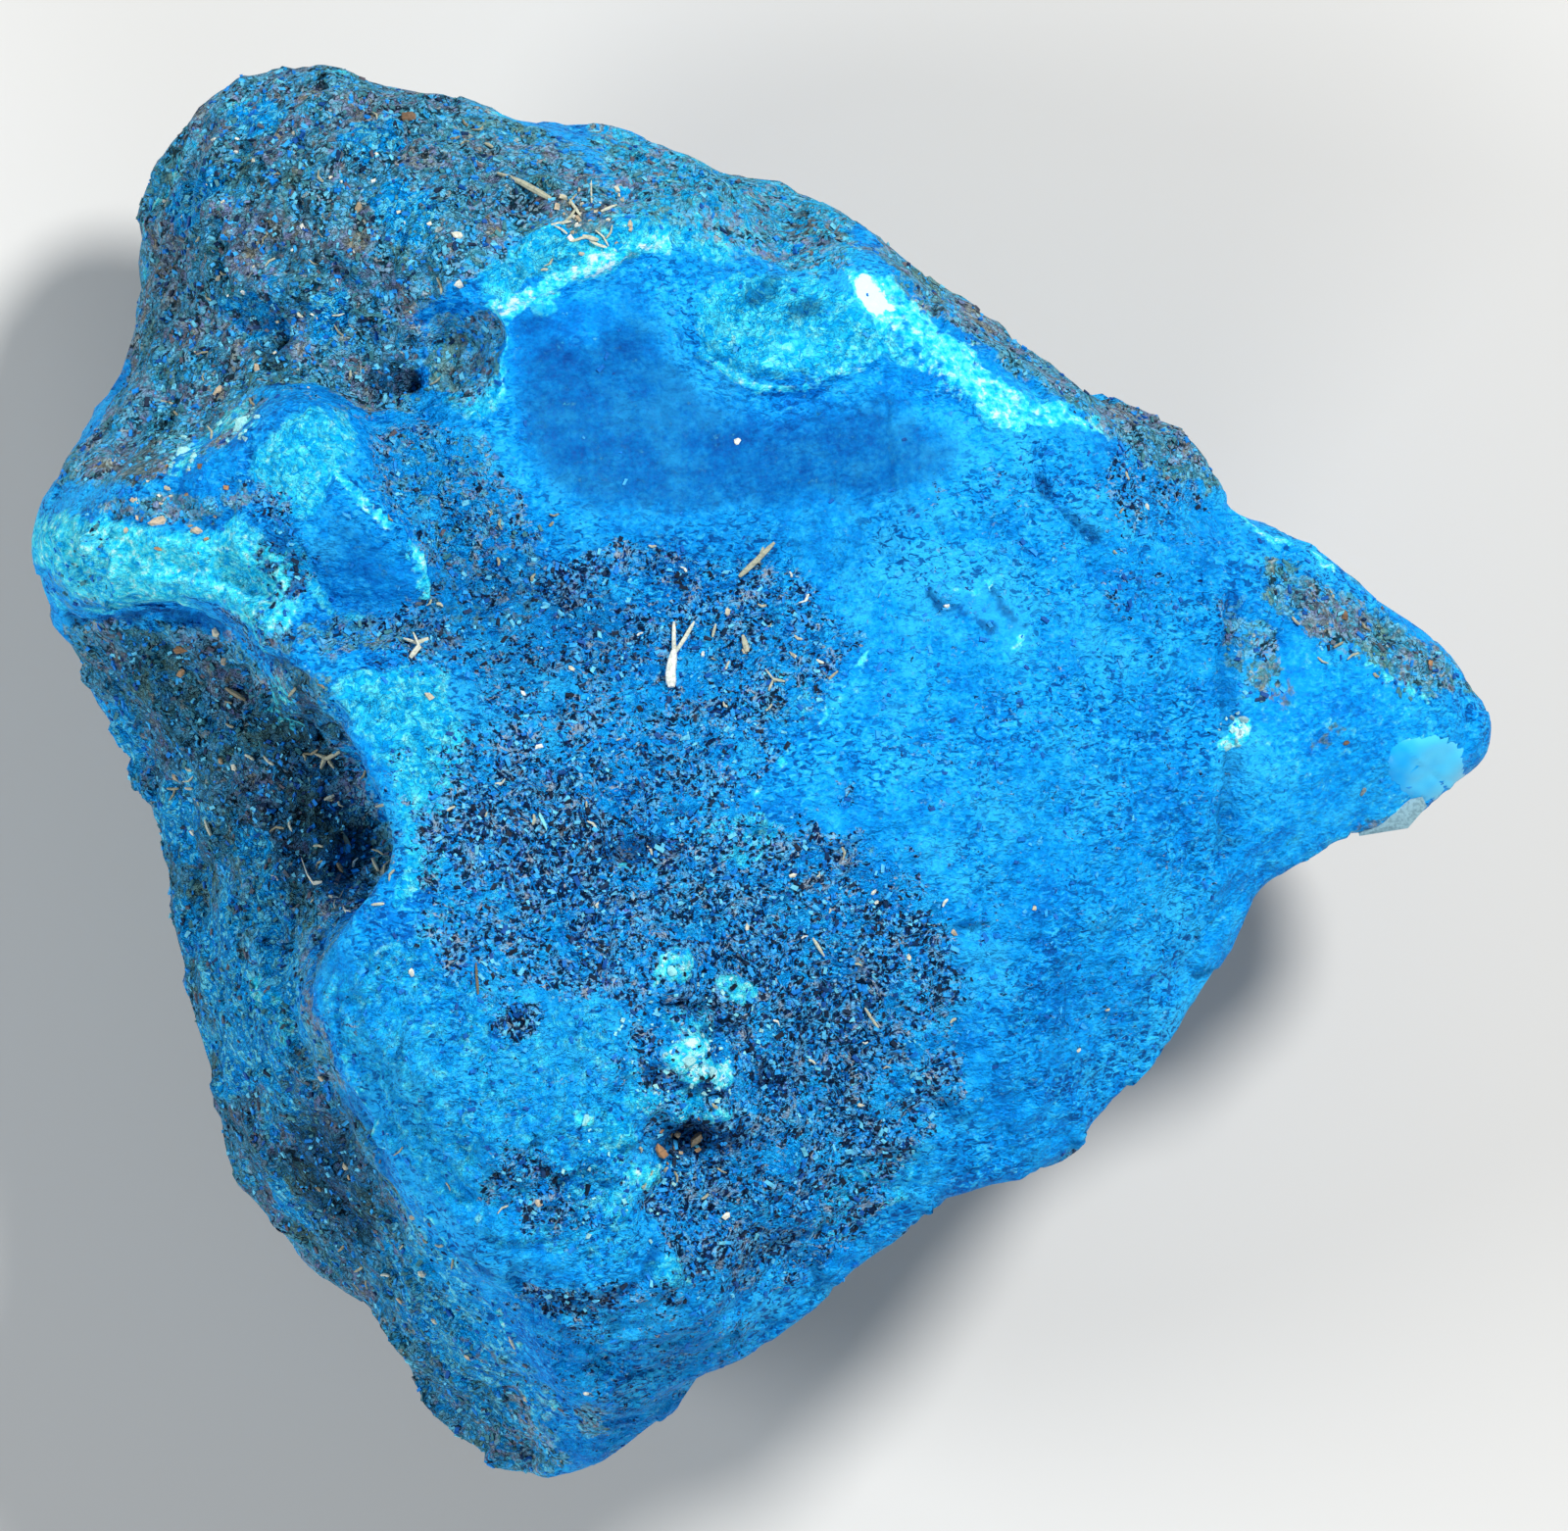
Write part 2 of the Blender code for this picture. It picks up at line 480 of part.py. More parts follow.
def make_stone(collection):
    mesh = bpy.data.meshes.new("stone")
    cage = stone_cage()
    cage.to_mesh(mesh)
    cage.free()
    stone = bpy.data.objects.new("stone", mesh)
    collection.objects.link(stone)
    soften(stone)
    break_back(stone.data)
    roughen(stone.data)
    thin_out(stone)
    ease_folds(stone.data)
    seat(stone.data)
    stone.data.name = "stone"
    stone.data.shade_smooth()
    stone.data.materials.clear()
    stone.data.materials.append(turquoise())
    return stone


def main():
    for item in list(bpy.data.objects):
        bpy.data.objects.remove(item)
    collection = bpy.data.collections.new("rough_turquoise")
    bpy.context.scene.collection.children.link(collection)
    make_stone(collection)


main()
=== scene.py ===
"""Rough turquoise as it looks: the broken skin with its crust, stains and bright edges, the
straw, chips and grit caught on it, and the light that it is seen in.

Places on the stone are (x, y) in millimetres, seen from straight above, as the camera sees it.
"""
import math
import random

import bmesh
import bpy
import numpy as np
from mathutils import Matrix, Vector, noise
from mathutils.bvhtree import BVHTree


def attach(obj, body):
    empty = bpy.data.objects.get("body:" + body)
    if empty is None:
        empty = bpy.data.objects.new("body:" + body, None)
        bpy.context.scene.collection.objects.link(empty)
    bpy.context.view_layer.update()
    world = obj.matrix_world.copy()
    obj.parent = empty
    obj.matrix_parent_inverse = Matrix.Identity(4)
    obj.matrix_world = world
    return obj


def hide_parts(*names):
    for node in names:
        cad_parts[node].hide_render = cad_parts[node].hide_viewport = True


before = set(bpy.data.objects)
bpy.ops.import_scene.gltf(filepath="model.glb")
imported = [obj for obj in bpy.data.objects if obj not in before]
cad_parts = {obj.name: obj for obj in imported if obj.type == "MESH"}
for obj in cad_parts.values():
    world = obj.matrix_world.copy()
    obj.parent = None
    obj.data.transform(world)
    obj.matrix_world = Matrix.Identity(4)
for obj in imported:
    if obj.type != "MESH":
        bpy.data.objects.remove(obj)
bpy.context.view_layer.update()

MM = 0.001
UP = Vector((0.0, 0.0, 1.0))

# The skin's mesh: its step, and how close two corners of the solid lie when they are one
SKIN_STEP = 1.13 * MM
MERGE_REACH = 0.01 * MM
# Looks down on the stone start from this height, in millimetres
HIGH = 200.0

# Outlines of the stretches that differ in shape or finish
LOBE = [
    (-60, 47.1), (-56, 60.6), (-42.9, 66), (-31.4, 63.5), (-22.7, 58.5), (-15.7, 55.1),
    (-12.2, 50.4), (-19.2, 48.4), (-24.4, 45), (-29.7, 41), (-31.5, 32.2), (-34.9, 31.5),
    (-39.3, 33.2), (-44.5, 33.2), (-49.4, 28), (-55.9, 25), (-64, 26.1), (-60.4, 30.5),
    (-57.4, 35.7), (-57.9, 41.9),
]
TOP_BAND = [
    (-14, 49.5), (-15.7, 59.1), (-6.9, 58.2), (1.8, 55.6), (9.6, 52.4), (9, 44.6), (3.6, 43.6),
    (-1.7, 46), (-6.9, 48.4),
]
LIP_BACK = [
    (-25, 41.6), (-23.4, 42), (-17, 44.4), (-9.9, 47), (-6, 45.6), (-2, 44.6), (-3, 48.6),
    (-10, 50.8), (-18, 49.4), (-25.6, 46.2),
]
OUTER_RIM = [
    (8.8, 46.7), (9.4, 52.6), (18, 47.4), (27, 40.4), (34, 36.4), (41, 31.7), (45, 26.4),
    (39, 24.6), (32.5, 27.9), (26.3, 33), (20.2, 36.6), (13.8, 41.6),
]
SCARP = [
    (7.5, 44.6), (11, 43.9), (15.8, 39.9), (20.2, 35.8), (25.5, 32.9), (31, 31.2), (30.6, 29.6),
    (24.8, 30.2), (19.8, 30.9), (15.8, 34.9), (11.5, 38.8), (8.4, 41.9),
]
BASIN = [
    (-23.1, 42), (-19.2, 43.2), (-15.7, 44.1), (-11.3, 45.6), (-8.6, 41.7), (-4.6, 35.9),
    (1, 33.2), (7.1, 34.2), (10.6, 35.8), (15, 32.2), (19.3, 28.7), (15.8, 23.5), (10, 22),
    (0.8, 21.5), (-7.9, 20.5), (-15.7, 21.5), (-20.9, 25), (-23.5, 28.9), (-23.6, 34),
]
RECESS = [(-30.2, 40.6), (-23.3, 41.2), (-23.1, 34), (-26.2, 32.6), (-29.7, 33.6)]
RECESS_BLUE = [(-31.5, 42.5), (-23.4, 42.2), (-23.4, 39.4), (-28.6, 39), (-31, 39.8)]
SHELF = [
    (-5.6, 36.6), (-6.9, 40.1), (-3, 44.6), (6.2, 43.4), (13.2, 38.1), (15.5, 34.8),
    (10.6, 36.6), (5.8, 34.4), (1, 34.2), (-3, 35.3),
]
SHELF_SMOOTH = [(-1, 36.4), (1.5, 39.6), (6.4, 39.4), (8.6, 37), (5.2, 35.6), (1.4, 35.2)]
MOTTLED = [
    (-34.9, 30.5), (-30.5, 32.2), (-24.4, 29.6), (-20.9, 23.5), (-18.3, 18.2), (-19.2, 13),
    (-26.2, 11.2), (-29.7, 9.5), (-36.2, 11.2), (-29.2, 17.4), (-33.2, 23.5), (-35.8, 26.1),
]
WEDGE = [
    (-37.9, 26.4), (-35.9, 24.6), (-32.6, 21.4), (-29.9, 17.6), (-30.2, 14), (-38.2, 14.2),
    (-41.3, 19.6), (-39.3, 23.5),
]
KNOB = [
    (-45, 29.2), (-41, 32.7), (-37.1, 31.4), (-35.4, 28.7), (-37.5, 26.1), (-41, 21.7),
    (-43.7, 23.5), (-46.3, 26.1),
]
LEDGE = [
    (-64.6, 22.5), (-61, 23.6), (-55, 22), (-49.4, 21.8), (-46, 22.8), (-41.4, 20.2),
    (-41.5, 14.6), (-41.9, 10.4), (-45.4, 11.6), (-49.4, 14.6), (-55, 15.3), (-58.5, 14.4),
    (-62.6, 14.6), (-65.4, 19),
]
LEDGE_TOP = [
    (-61, 21.5), (-56, 20.8), (-50, 20.6), (-46, 21.6), (-43, 19.6), (-42.6, 14.5), (-46, 14.8),
    (-50, 16.6), (-54.5, 16.8), (-58.5, 16.4), (-61.5, 17.6),
]
LEDGE_PALE = [(-59, 21.4), (-54, 21), (-49.6, 20.6), (-48.6, 17), (-53, 15.9), (-58.4, 16)]
FLANK = [
    (-63, 13.4), (-55, 14), (-47.2, 12.1), (-43.9, 9.7), (-38.4, 8.2), (-35.8, 0.2),
    (-33.2, -4.5), (-32.3, -8), (-35.4, -11.6), (-39.3, -14.6), (-40.3, -19.8), (-38, -26),
    (-34.4, -33.8), (-29.4, -41.4), (-25.6, -47.4), (-20.4, -56), (-17, -62), (-21.8, -66),
    (-31, -60), (-37, -50), (-44, -42.4), (-51, -33.6), (-54, -22), (-56.6, -9.8), (-60, 0.7),
]
CAVE = [
    (-47, 9.6), (-41, 8.8), (-37.6, 5.4), (-34.4, -2.6), (-31.6, -7.4), (-34.8, -11.4),
    (-40, -12.6), (-46, -8), (-46.4, 0.6),
]
FLANK_BLUE = [
    (-50.8, -17.6), (-44.6, -17), (-42, -21.4), (-43.4, -27.4), (-47.8, -29), (-50.4, -24),
]
LOWER_FLANK = [
    (-41.6, -19.6), (-39.4, -25.6), (-35.2, -33.4), (-31.2, -39.6), (-34.6, -45.6), (-41.4, -41),
    (-45.6, -35.4), (-43.8, -27.4),
]
LOWER_RIDGES = [
    (-34.6, -41), (-31, -38), (-26, -43.4), (-21.6, -50.4), (-17.2, -58.6), (-20, -65),
    (-27.4, -61), (-33, -52.8), (-36.6, -46.6),
]
SPECKLED = [
    (-30.5, -15), (-30, -4), (-26, 9), (-27, 16), (-20, 19), (-12, 21), (2, 19), (9, 12),
    (2.4, 2.4), (-2.4, -4), (6, -6), (14, -9), (19, -18), (18, -28), (11, -37), (3, -46),
    (-6, -46), (-11, -38), (-10.6, -26), (-14, -19), (-24, -17.4),
]
CREST_STRIP = [
    (-38.6, 7.6), (-34.9, 9.4), (-27.7, 9.7), (-26, 2.5), (-26, -3.6), (-28.7, -9.8),
    (-32.8, -11.9), (-31.4, -6.3), (-33.2, -1), (-35.8, 2.7),
]
BULGE = [
    (-39.6, -18.5), (-33.2, -13.3), (-24.4, -17.5), (-19.2, -19.3), (-12.2, -20.1),
    (-10.4, -25.5), (-11.3, -36), (-9.9, -41.9), (-12.2, -43.9), (-19.2, -43.1), (-24.4, -41.5),
    (-29.8, -37), (-34.2, -29.9), (-38.5, -23.8),
]
LOW_SHELF = [
    (-25.7, -43.4), (-20.4, -46.8), (-12.2, -47.4), (-5.2, -44.8), (-1.7, -47.4), (1.8, -50.3),
    (-6.9, -58.1), (-12.2, -62.5), (-17.5, -60.5), (-20.2, -53.5),
]
SLOPE = [
    (14, 26), (24, 30), (34, 29), (41, 23), (42, 8), (42, -10), (33, -26), (22, -30), (17, -10),
    (9, 4), (9, 14),
]
TIP_FACE = [
    (42, 14), (47, 12), (53, 10.2), (60.6, 5.2), (66, 2), (63, -2), (54, -7), (43, -10), (42, 2),
]
TIP_CRUST = [
    (44.6, 19.4), (50, 17.4), (56.8, 13.4), (62, 10), (63.4, 7.4), (60.6, 6.2), (56.6, 8.2),
    (53.2, 10.2), (49, 12), (45.4, 14.6),
]
GLOSSY = [(55.4, -2.4), (57, 2), (60.4, 3.9), (62.9, 1.6), (62, -1.6), (58.6, -3.2)]

# Finishes of the stretches: how much of each the outline holds
STRETCHES = [
    (LOBE, {"crust": 0.95, "rough": 0.8}),
    (TOP_BAND, {"crust": 0.5, "rough": 0.9, "cyan": 0.8}),
    (LIP_BACK, {"cyan": 0.95, "rough": 0.8, "pale": 0.2}),
    (OUTER_RIM, {"crust": 0.95, "rough": 0.8}),
    # the scarp's pale is partly a painted highlight along its shining strip
    (SCARP, {"pale": 0.9, "calm": 0.7}),
    # painted shade: the basin turns from the light
    (BASIN, {"calm": 0.85, "shade": 0.8}),
    # painted shade: the recess lies in the shadow of its wall, over its own brown crust
    (RECESS, {"crust": 0.8, "brown": 0.5, "shade": 0.45}),
    (RECESS_BLUE, {"calm": 0.7, "shade": 0.3}),
    (SHELF, {"cyan": 0.9, "rough": 0.5}),
    (SHELF_SMOOTH, {"cyan": 0.9, "calm": 0.8}),
    (MOTTLED, {"crust": 0.35, "dirt": 0.3, "cyan": 0.3, "rough": 0.6}),
    # painted shade: the wedge faces away from the light
    (WEDGE, {"calm": 0.7, "shade": 0.6}),
    (KNOB, {"cyan": 1.0, "rough": 0.5, "pale": 0.4}),
    # the ledge's pale is partly painted light on its brightly lit top
    (LEDGE, {"cyan": 1.0, "rough": 0.6, "pale": 0.7}),
    (LEDGE_PALE, {"pale": 0.9}),
    # painted shade on the flank, with a darker crust there too; the cave and the lower flank lie in
    # painted shadow
    (FLANK, {"crust": 0.85, "rough": 0.9, "shade": 0.55}),
    (FLANK_BLUE, {"azure": 1.5}),
    (CAVE, {"shade": 1.0}),
    (LOWER_FLANK, {"shade": 1.0}),
    (LOWER_RIDGES, {"crust": 0.5, "rough": 0.4, "azure": 0.3}),
    (SPECKLED, {"dirt": 0.5, "rough": 0.3}),
    (CREST_STRIP, {"cyan": 0.95, "rough": 0.4}),
    (BULGE, {"rough": 0.5, "dirt": 0.12, "cyan": 0.45}),
    (LOW_SHELF, {"rough": 0.4, "dirt": 0.25}),
    (SLOPE, {"dirt": 0.12, "rough": 0.1}),
    (TIP_FACE, {"calm": 0.6, "cyan": 0.3}),
    (TIP_CRUST, {"brown": 0.5, "crust": 0.75, "rough": 0.6}),
    # the glossy spot's pale is partly a painted highlight
    (GLOSSY, {"gloss": 1.0, "pale": 0.35, "calm": 1.0}),
]

# Patches of each finish: the place, how far they reach along and across, their turn in degrees
# and how much of the finish they hold
PATCHES = {
    "dirt": [
        ((-17, -6), 14, 9, -12, 0.85), ((-8, 12.5), 12, 4.6, 8, 0.62),
        ((-3, -12), 9, 5, -20, 0.85), ((5, -16.4), 10.2, 10.6, 0, 1),
        ((4, -30), 7, 12, 25, 0.85), ((-2, -42), 6, 4, 20, 0.6), ((-45, 24.4), 4, 1.6, -20, 0.5),
        ((-44, 12.6), 3.6, 2.4, -30, 0.5), ((-5, -34), 6, 5, 0, 0.8), ((-6, -24), 7, 9, 0, 0.6),
        ((-19, -16), 11, 4, -10, 0.7), ((-19.5, -37), 6, 3.5, -20, 0.6),
        ((-14, -46.6), 9, 1.8, 5, 0.6), ((35, 25.5), 5, 4.5, 0, 0.45),
        ((35, 15.5), 6, 3, 0, 0.3), ((-42.2, 17.4), 2.6, 4, 10, 0.6),
        ((-27, 11.6), 11, 3, 0, 0.45), ((-21.3, -21.7), 2.2, 1.6, 30, 0.95),
    ],
    # painted shade: in pits, cracks and crevices between the lumps, under steps, and darker patches
    # around the basin and the wedge
    "shade": [
        ((-37.4, -34), 4, 8, 25, 0.75), ((-57, 10.5), 5, 2.6, 0, 0.5),
        ((20, 14.4), 3, 1.5, -35, 0.3), ((24, -21), 12, 8, -30, 0.3),
        ((-4, -45), 7, 3.6, 20, 0.4), ((-2, 22.5), 20, 6.5, 0, 0.42),
        ((-22, 14), 15, 6.5, -6, 0.5), ((-36, 17), 6, 5, 0, 0.5),
        ((-42.2, 17.4), 2.6, 4, 10, 0.75), ((41.8, -4), 0.7, 4.6, 0, 0.4),
        ((-43.6, 38.4), 1.6, 3.2, 0, 1), ((-33, 34.6), 3.6, 2, 0, 1),
        ((-10.5, 34.5), 4, 3, 0, 0.45), ((-0.5, 42.4), 2.6, 1.4, 30, 0.8),
        ((3.8, 41), 1.9, 1, 20, 0.9), ((-11, -6.6), 3.4, 1.8, 0, 0.9),
        ((-5, -23), 1.4, 0.9, 30, 0.9), ((-9.4, -26.6), 1.1, 1.4, 30, 0.9),
        ((-5.6, -27.9), 2.4, 0.7, -10, 1), ((-6.6, -32.8), 4.8, 1.6, 0, 1.2),
        ((0.2, -27), 1.3, 1.3, 0, 1.2),
    ],
    "azure": [
        ((-41, -26), 3, 6, 10, 0.4), ((-43.6, -21), 3, 9, 8, 0.75), ((-49, -14), 4, 4.6, 0, 1),
        ((-44.6, -12), 3, 4, 0, 0.6), ((-28, -48), 4, 12, 25, 0.6), ((-45, 41), 5, 2.6, 0, 0.5),
        ((-16.4, 40.6), 4.6, 2.6, 15, 0.6), ((-50.6, 51.6), 2.6, 2.2, 30, 0.9),
        ((-38.6, 41), 1.8, 2.2, 0, 0.9), ((-34.6, 56), 3.4, 1.6, 20, 0.7),
        ((-45.5, 58.5), 3.2, 1.8, 0, 1), ((-32, 50), 2.6, 3.6, 30, 1),
        ((-52.4, -4.2), 2.4, 3.6, 0, 1), ((-45.4, -6.4), 2.2, 2, 0, 0.9),
        ((-57, 3), 1.8, 4, 20, 0.7), ((-43.4, -38), 4.4, 1.4, -48, 0.9),
        ((-38.6, 5.2), 1.4, 1.6, 0, 1),
    ],
    "cyan": [
        ((-46, -12), 4.4, 4.6, 0, 0.6), ((-42, 59), 6, 2.6, -12, 0.5),
        ((-26, 56.6), 6.4, 2.2, -15, 0.6), ((-54, 47), 2.2, 7, -8, 0.45),
        ((-52, 30), 3, 4.6, 0, 0.4), ((1.4, 6.2), 5, 3, 0, 0.45), ((8, -37.6), 8, 3.6, 28, 0.55),
        ((-25, 57.6), 2.4, 1.8, 0, 1), ((-25.6, 33.4), 2.6, 2.2, 30, 0.9),
        ((-19.4, 41.2), 1.7, 1.1, 20, 0.8), ((-45, -33), 1.8, 4.4, 20, 0.5),
        ((-2, -6), 4, 2.4, 0, 0.9), ((-6.4, -22.6), 2.6, 2.4, 0, 1),
        ((-10, -29), 2.4, 2, 0, 0.9), ((-5.4, -29.6), 3, 1.9, 0, 1.2),
        ((-12.6, -32), 1.3, 2.2, 0, 1), ((-8, -44), 2.2, 1.6, 0, 0.9),
        ((-13, -38), 2, 1.4, 0, 0.8), ((-28, -14), 4, 3, 0, 0.5),
    ],
    # pale: chalky spots, and painted highlight on the scarp: the white glint at (9.6, 42.2) and the
    # bright strip below it
    "pale": [
        ((17, 34.6), 5, 1.3, -40, 0.7), ((-46.8, 31.2), 2.2, 1.5, 20, 0.7),
        ((-51.8, 28), 1.8, 2.2, 0, 0.6), ((9.6, 42.2), 2.7, 1.2, -44, 2),
        ((21.4, 31.6), 2.4, 1.2, -30, 1), ((-44.6, -19.6), 1.8, 1.6, 0, 0.7),
        ((-43, -23.2), 1, 1.6, 0, 0.7), ((-54, -8.8), 0.7, 3, 12, 0.9),
        ((-42.4, 6.2), 2.2, 2.8, 0, 0.55), ((-8.2, -17.4), 2, 1.6, 30, 0.9),
        ((-2.6, -19), 2.6, 1.1, -24, 0.95), ((-7, -25), 2.6, 1.8, -25, 1.25),
        ((-4.2, -26.6), 1.7, 1.2, -25, 1.25), ((-4.2, -30), 1.3, 0.9, 0, 0.8),
        ((-15.6, -30.6), 1.1, 0.9, 0, 0.9), ((-10.4, -35.6), 1.8, 1.6, 0, 0.85),
        ((42.2, 3.9), 0.9, 1.6, -40, 1.35), ((41.2, 2.6), 1.4, 0.7, 20, 1.1),
    ],
    "calm": [
        ((20, 14.4), 3.4, 1.7, -35, 1),
    ],
    "crust": [
        ((43.6, 10.6), 2.2, 5, 20, 0.6), ((46, 16.6), 2.4, 2.6, 0, 0.6),
        ((-60, 18), 3, 4.6, 20, 0.45), ((-52.6, 23.6), 6.6, 1.2, 4, 0.8),
        ((-36, 12), 8, 1.6, 0, 0.6), ((-15.3, -57.6), 1.4, 1.4, 0, 0.9),
        ((-23.6, -60), 5, 2, -50, 0.6),
    ],
    "brown": [
        ((45.4, 7.4), 2, 2.6, 0, 0.6), ((-41.6, 50), 4, 6.6, 20, 0.54),
        ((-53, 44), 2.6, 5, -10, 0.56), ((-55, 27.6), 2.4, 2.6, 0, 0.8),
        ((-16, 49.4), 3.4, 1.8, -15, 0.9), ((4.6, 48.2), 2.8, 1.4, -20, 0.7),
        ((14, 42.4), 4, 1.6, -38, 0.6), ((50, 3), 3, 0.9, 40, 0.6), ((55, -4.6), 3, 1, 10, 0.8),
        ((-50, 10.6), 4, 2, 0, 0.5),
    ],
    "gloss": [
        ((9.6, 42.2), 2.6, 1.3, -44, 1),
    ],
}

# Edges, seams and cracks: their path, half their width, their height, and their finish
# The shade lines are painted shadow in cracks and under steps; the pale edges are partly
# a painted highlight where ridges catch the light, partly chalky edges
EDGES = [
    ([(-55.6, 44), (-54.8, 50), (-52.4, 55), (-48.2, 59.2), (-43, 62.2), (-37.6, 61.8)],
     0.8, 0.1, "pale", 0.62),
    ([(-23.6, 41.4), (-20.6, 43), (-16.6, 44.6), (-12.8, 46.2), (-9.6, 47.6)],
     1.15, 0.6, "pale", 1.2),
    ([(-23, 41), (-22.9, 37.4), (-23.2, 33.8), (-24.8, 31.6)], 0.35, 0.35, "pale", 0.7),
    ([(-5.4, 37.2), (-3, 35.3), (-1.2, 34.4), (3.4, 34.2), (6, 35.4), (10.8, 37.4), (14, 38.4)],
     0.45, 0.35, "pale", 0.75),
    ([(-37.8, 26.4), (-34, 22.8), (-30.2, 18.8), (-29.6, 15.2)], 0.45, 0.5, "pale", 0.9),
    ([(-41.6, 20.4), (-38.4, 14), (-34, 13.6)], 0.4, 0.2, "cyan", 1),
    ([(9.4, 11), (6.2, 5.4), (3.4, 3), (0, -1), (-2.4, -3.4)], 0.5, 0.35, "pale", 0.55),
    ([(53, 10.2), (57, 7.6), (61.6, 4.8)], 0.4, 0.4, "pale", 0.7),
    ([(42, 22.8), (46, 20.6), (50.4, 18.2), (56, 14.6)], 0.7, 0.25, "pale", 0.85),
    ([(-14.4, -7.8), (-11, -8.6), (-7.8, -9.8)], 0.3, 0.3, "pale", 0.5),
    ([(-38.2, -22), (-34.6, -29.8), (-31.2, -36.4),
      (-27.4, -41.6), (-22.6, -49.2), (-18.6, -56.8)],
     0.45, 0.5, "pale", 0.6),
    ([(-33.4, -42), (-30, -49), (-25, -57.6)], 0.6, 0.5, "azure", 1),
    ([(-31.2, -41.4), (-27.4, -48.8), (-22.4, -57.4)], 0.5, 0.45, "azure", 1),
    ([(-29.2, -42), (-25.4, -49.4), (-20.4, -57)], 0.45, 0.4, "azure", 1),
    ([(14.6, 16.2), (15.6, 14.8), (17.2, 14.6), (20.4, 12.6)], 0.3, -0.7, "shade", 1),
    ([(20.2, 16.2), (21.4, 14.4), (23.4, 12.8)], 0.28, -0.6, "shade", 0.9),
    ([(16.6, 16.4), (18.4, 15.8), (20.6, 17.2)], 0.35, 0.5, "pale", 0.62),
    ([(23.8, 13.4), (22.6, 11.6), (21.2, 10)], 0.4, 0.5, "pale", 0.65),
    ([(24.2, 29), (24.6, 26.4), (25.6, 24.2), (27.2, 22.6), (29.2, 20.8)],
     0.5, -0.9, "shade", 0.8),
    ([(41.6, 15), (41.2, 8), (41.6, 0), (41, -8)], 0.9, -0.8, "shade", 0.5),
    ([(-26, -42.6), (-21.6, -45.4), (-16.4, -46.8), (-11.6, -46), (-9, -42.2)],
     0.7, -0.6, "shade", 0.8),
    ([(-58, 22.6), (-53.6, 22.4), (-50, 22), (-47, 23)], 0.5, -0.6, "shade", 0.5),
    ([(-62, 13.6), (-55, 14.4), (-49, 13.2), (-44.6, 10.4), (-41, 8.6)],
     0.8, -0.7, "shade", 0.8),
    ([(-39.4, -14.6), (-40, -19.8), (-38, -26), (-34.6, -33)], 0.7, -0.7, "shade", 0.7),
    ([(-8.6, -20.2), (-6.2, -20.8), (-4.2, -20.6)], 0.4, -0.5, "shade", 0.8),
    ([(-47.4, 10), (-44, 4.2), (-41, 2)], 0.6, -0.7, "shade", 0.6),
]
# Small lumps and pits: the place, the reach and the height
LUMPS = [
    ((-8.2, -17.6), 3.4, 1.3), ((-2.8, -19), 2.6, 0.8), ((-7, -25), 4, 1.4),
    ((-4.2, -26.6), 2.6, 0.7), ((-10.4, -35.6), 2.6, 0.7), ((-10, -29), 2.6, 0.7),
    ((-7.4, -29.6), 2, 1.2), ((-4.2, -29.8), 2, 1.2), ((-15.6, -30.6), 1.4, 0.5),
    ((-12.6, -32), 1.9, 0.7), ((-8, -44.4), 2, 0.8), ((-42.2, 6), 2.8, 0.9),
    ((42, 3.6), 1.6, 0.5), ((-20, 18), 1.2, 0.3),
]
PITS = [
    ((-43.6, 38.4), 1.7, 1.8), ((-31.8, 34.4), 1.8, 3), ((-21.3, -21.7), 1.8, 0.8),
    ((-20.4, -37.4), 1.8, 0.7), ((-15.3, -57.6), 1.2, 0.7), ((-6.6, -32.8), 2.6, 2),
    ((-5.6, -20.9), 1.2, 0.8), ((0.2, -27), 1.5, 1.4), ((-2.6, -23), 1.2, 0.8),
    ((-46.6, 4.2), 1.2, 1.4), ((-10.5, -6.4), 2, 0.8), ((-19.6, 30.8), 0.4, 0.3),
]

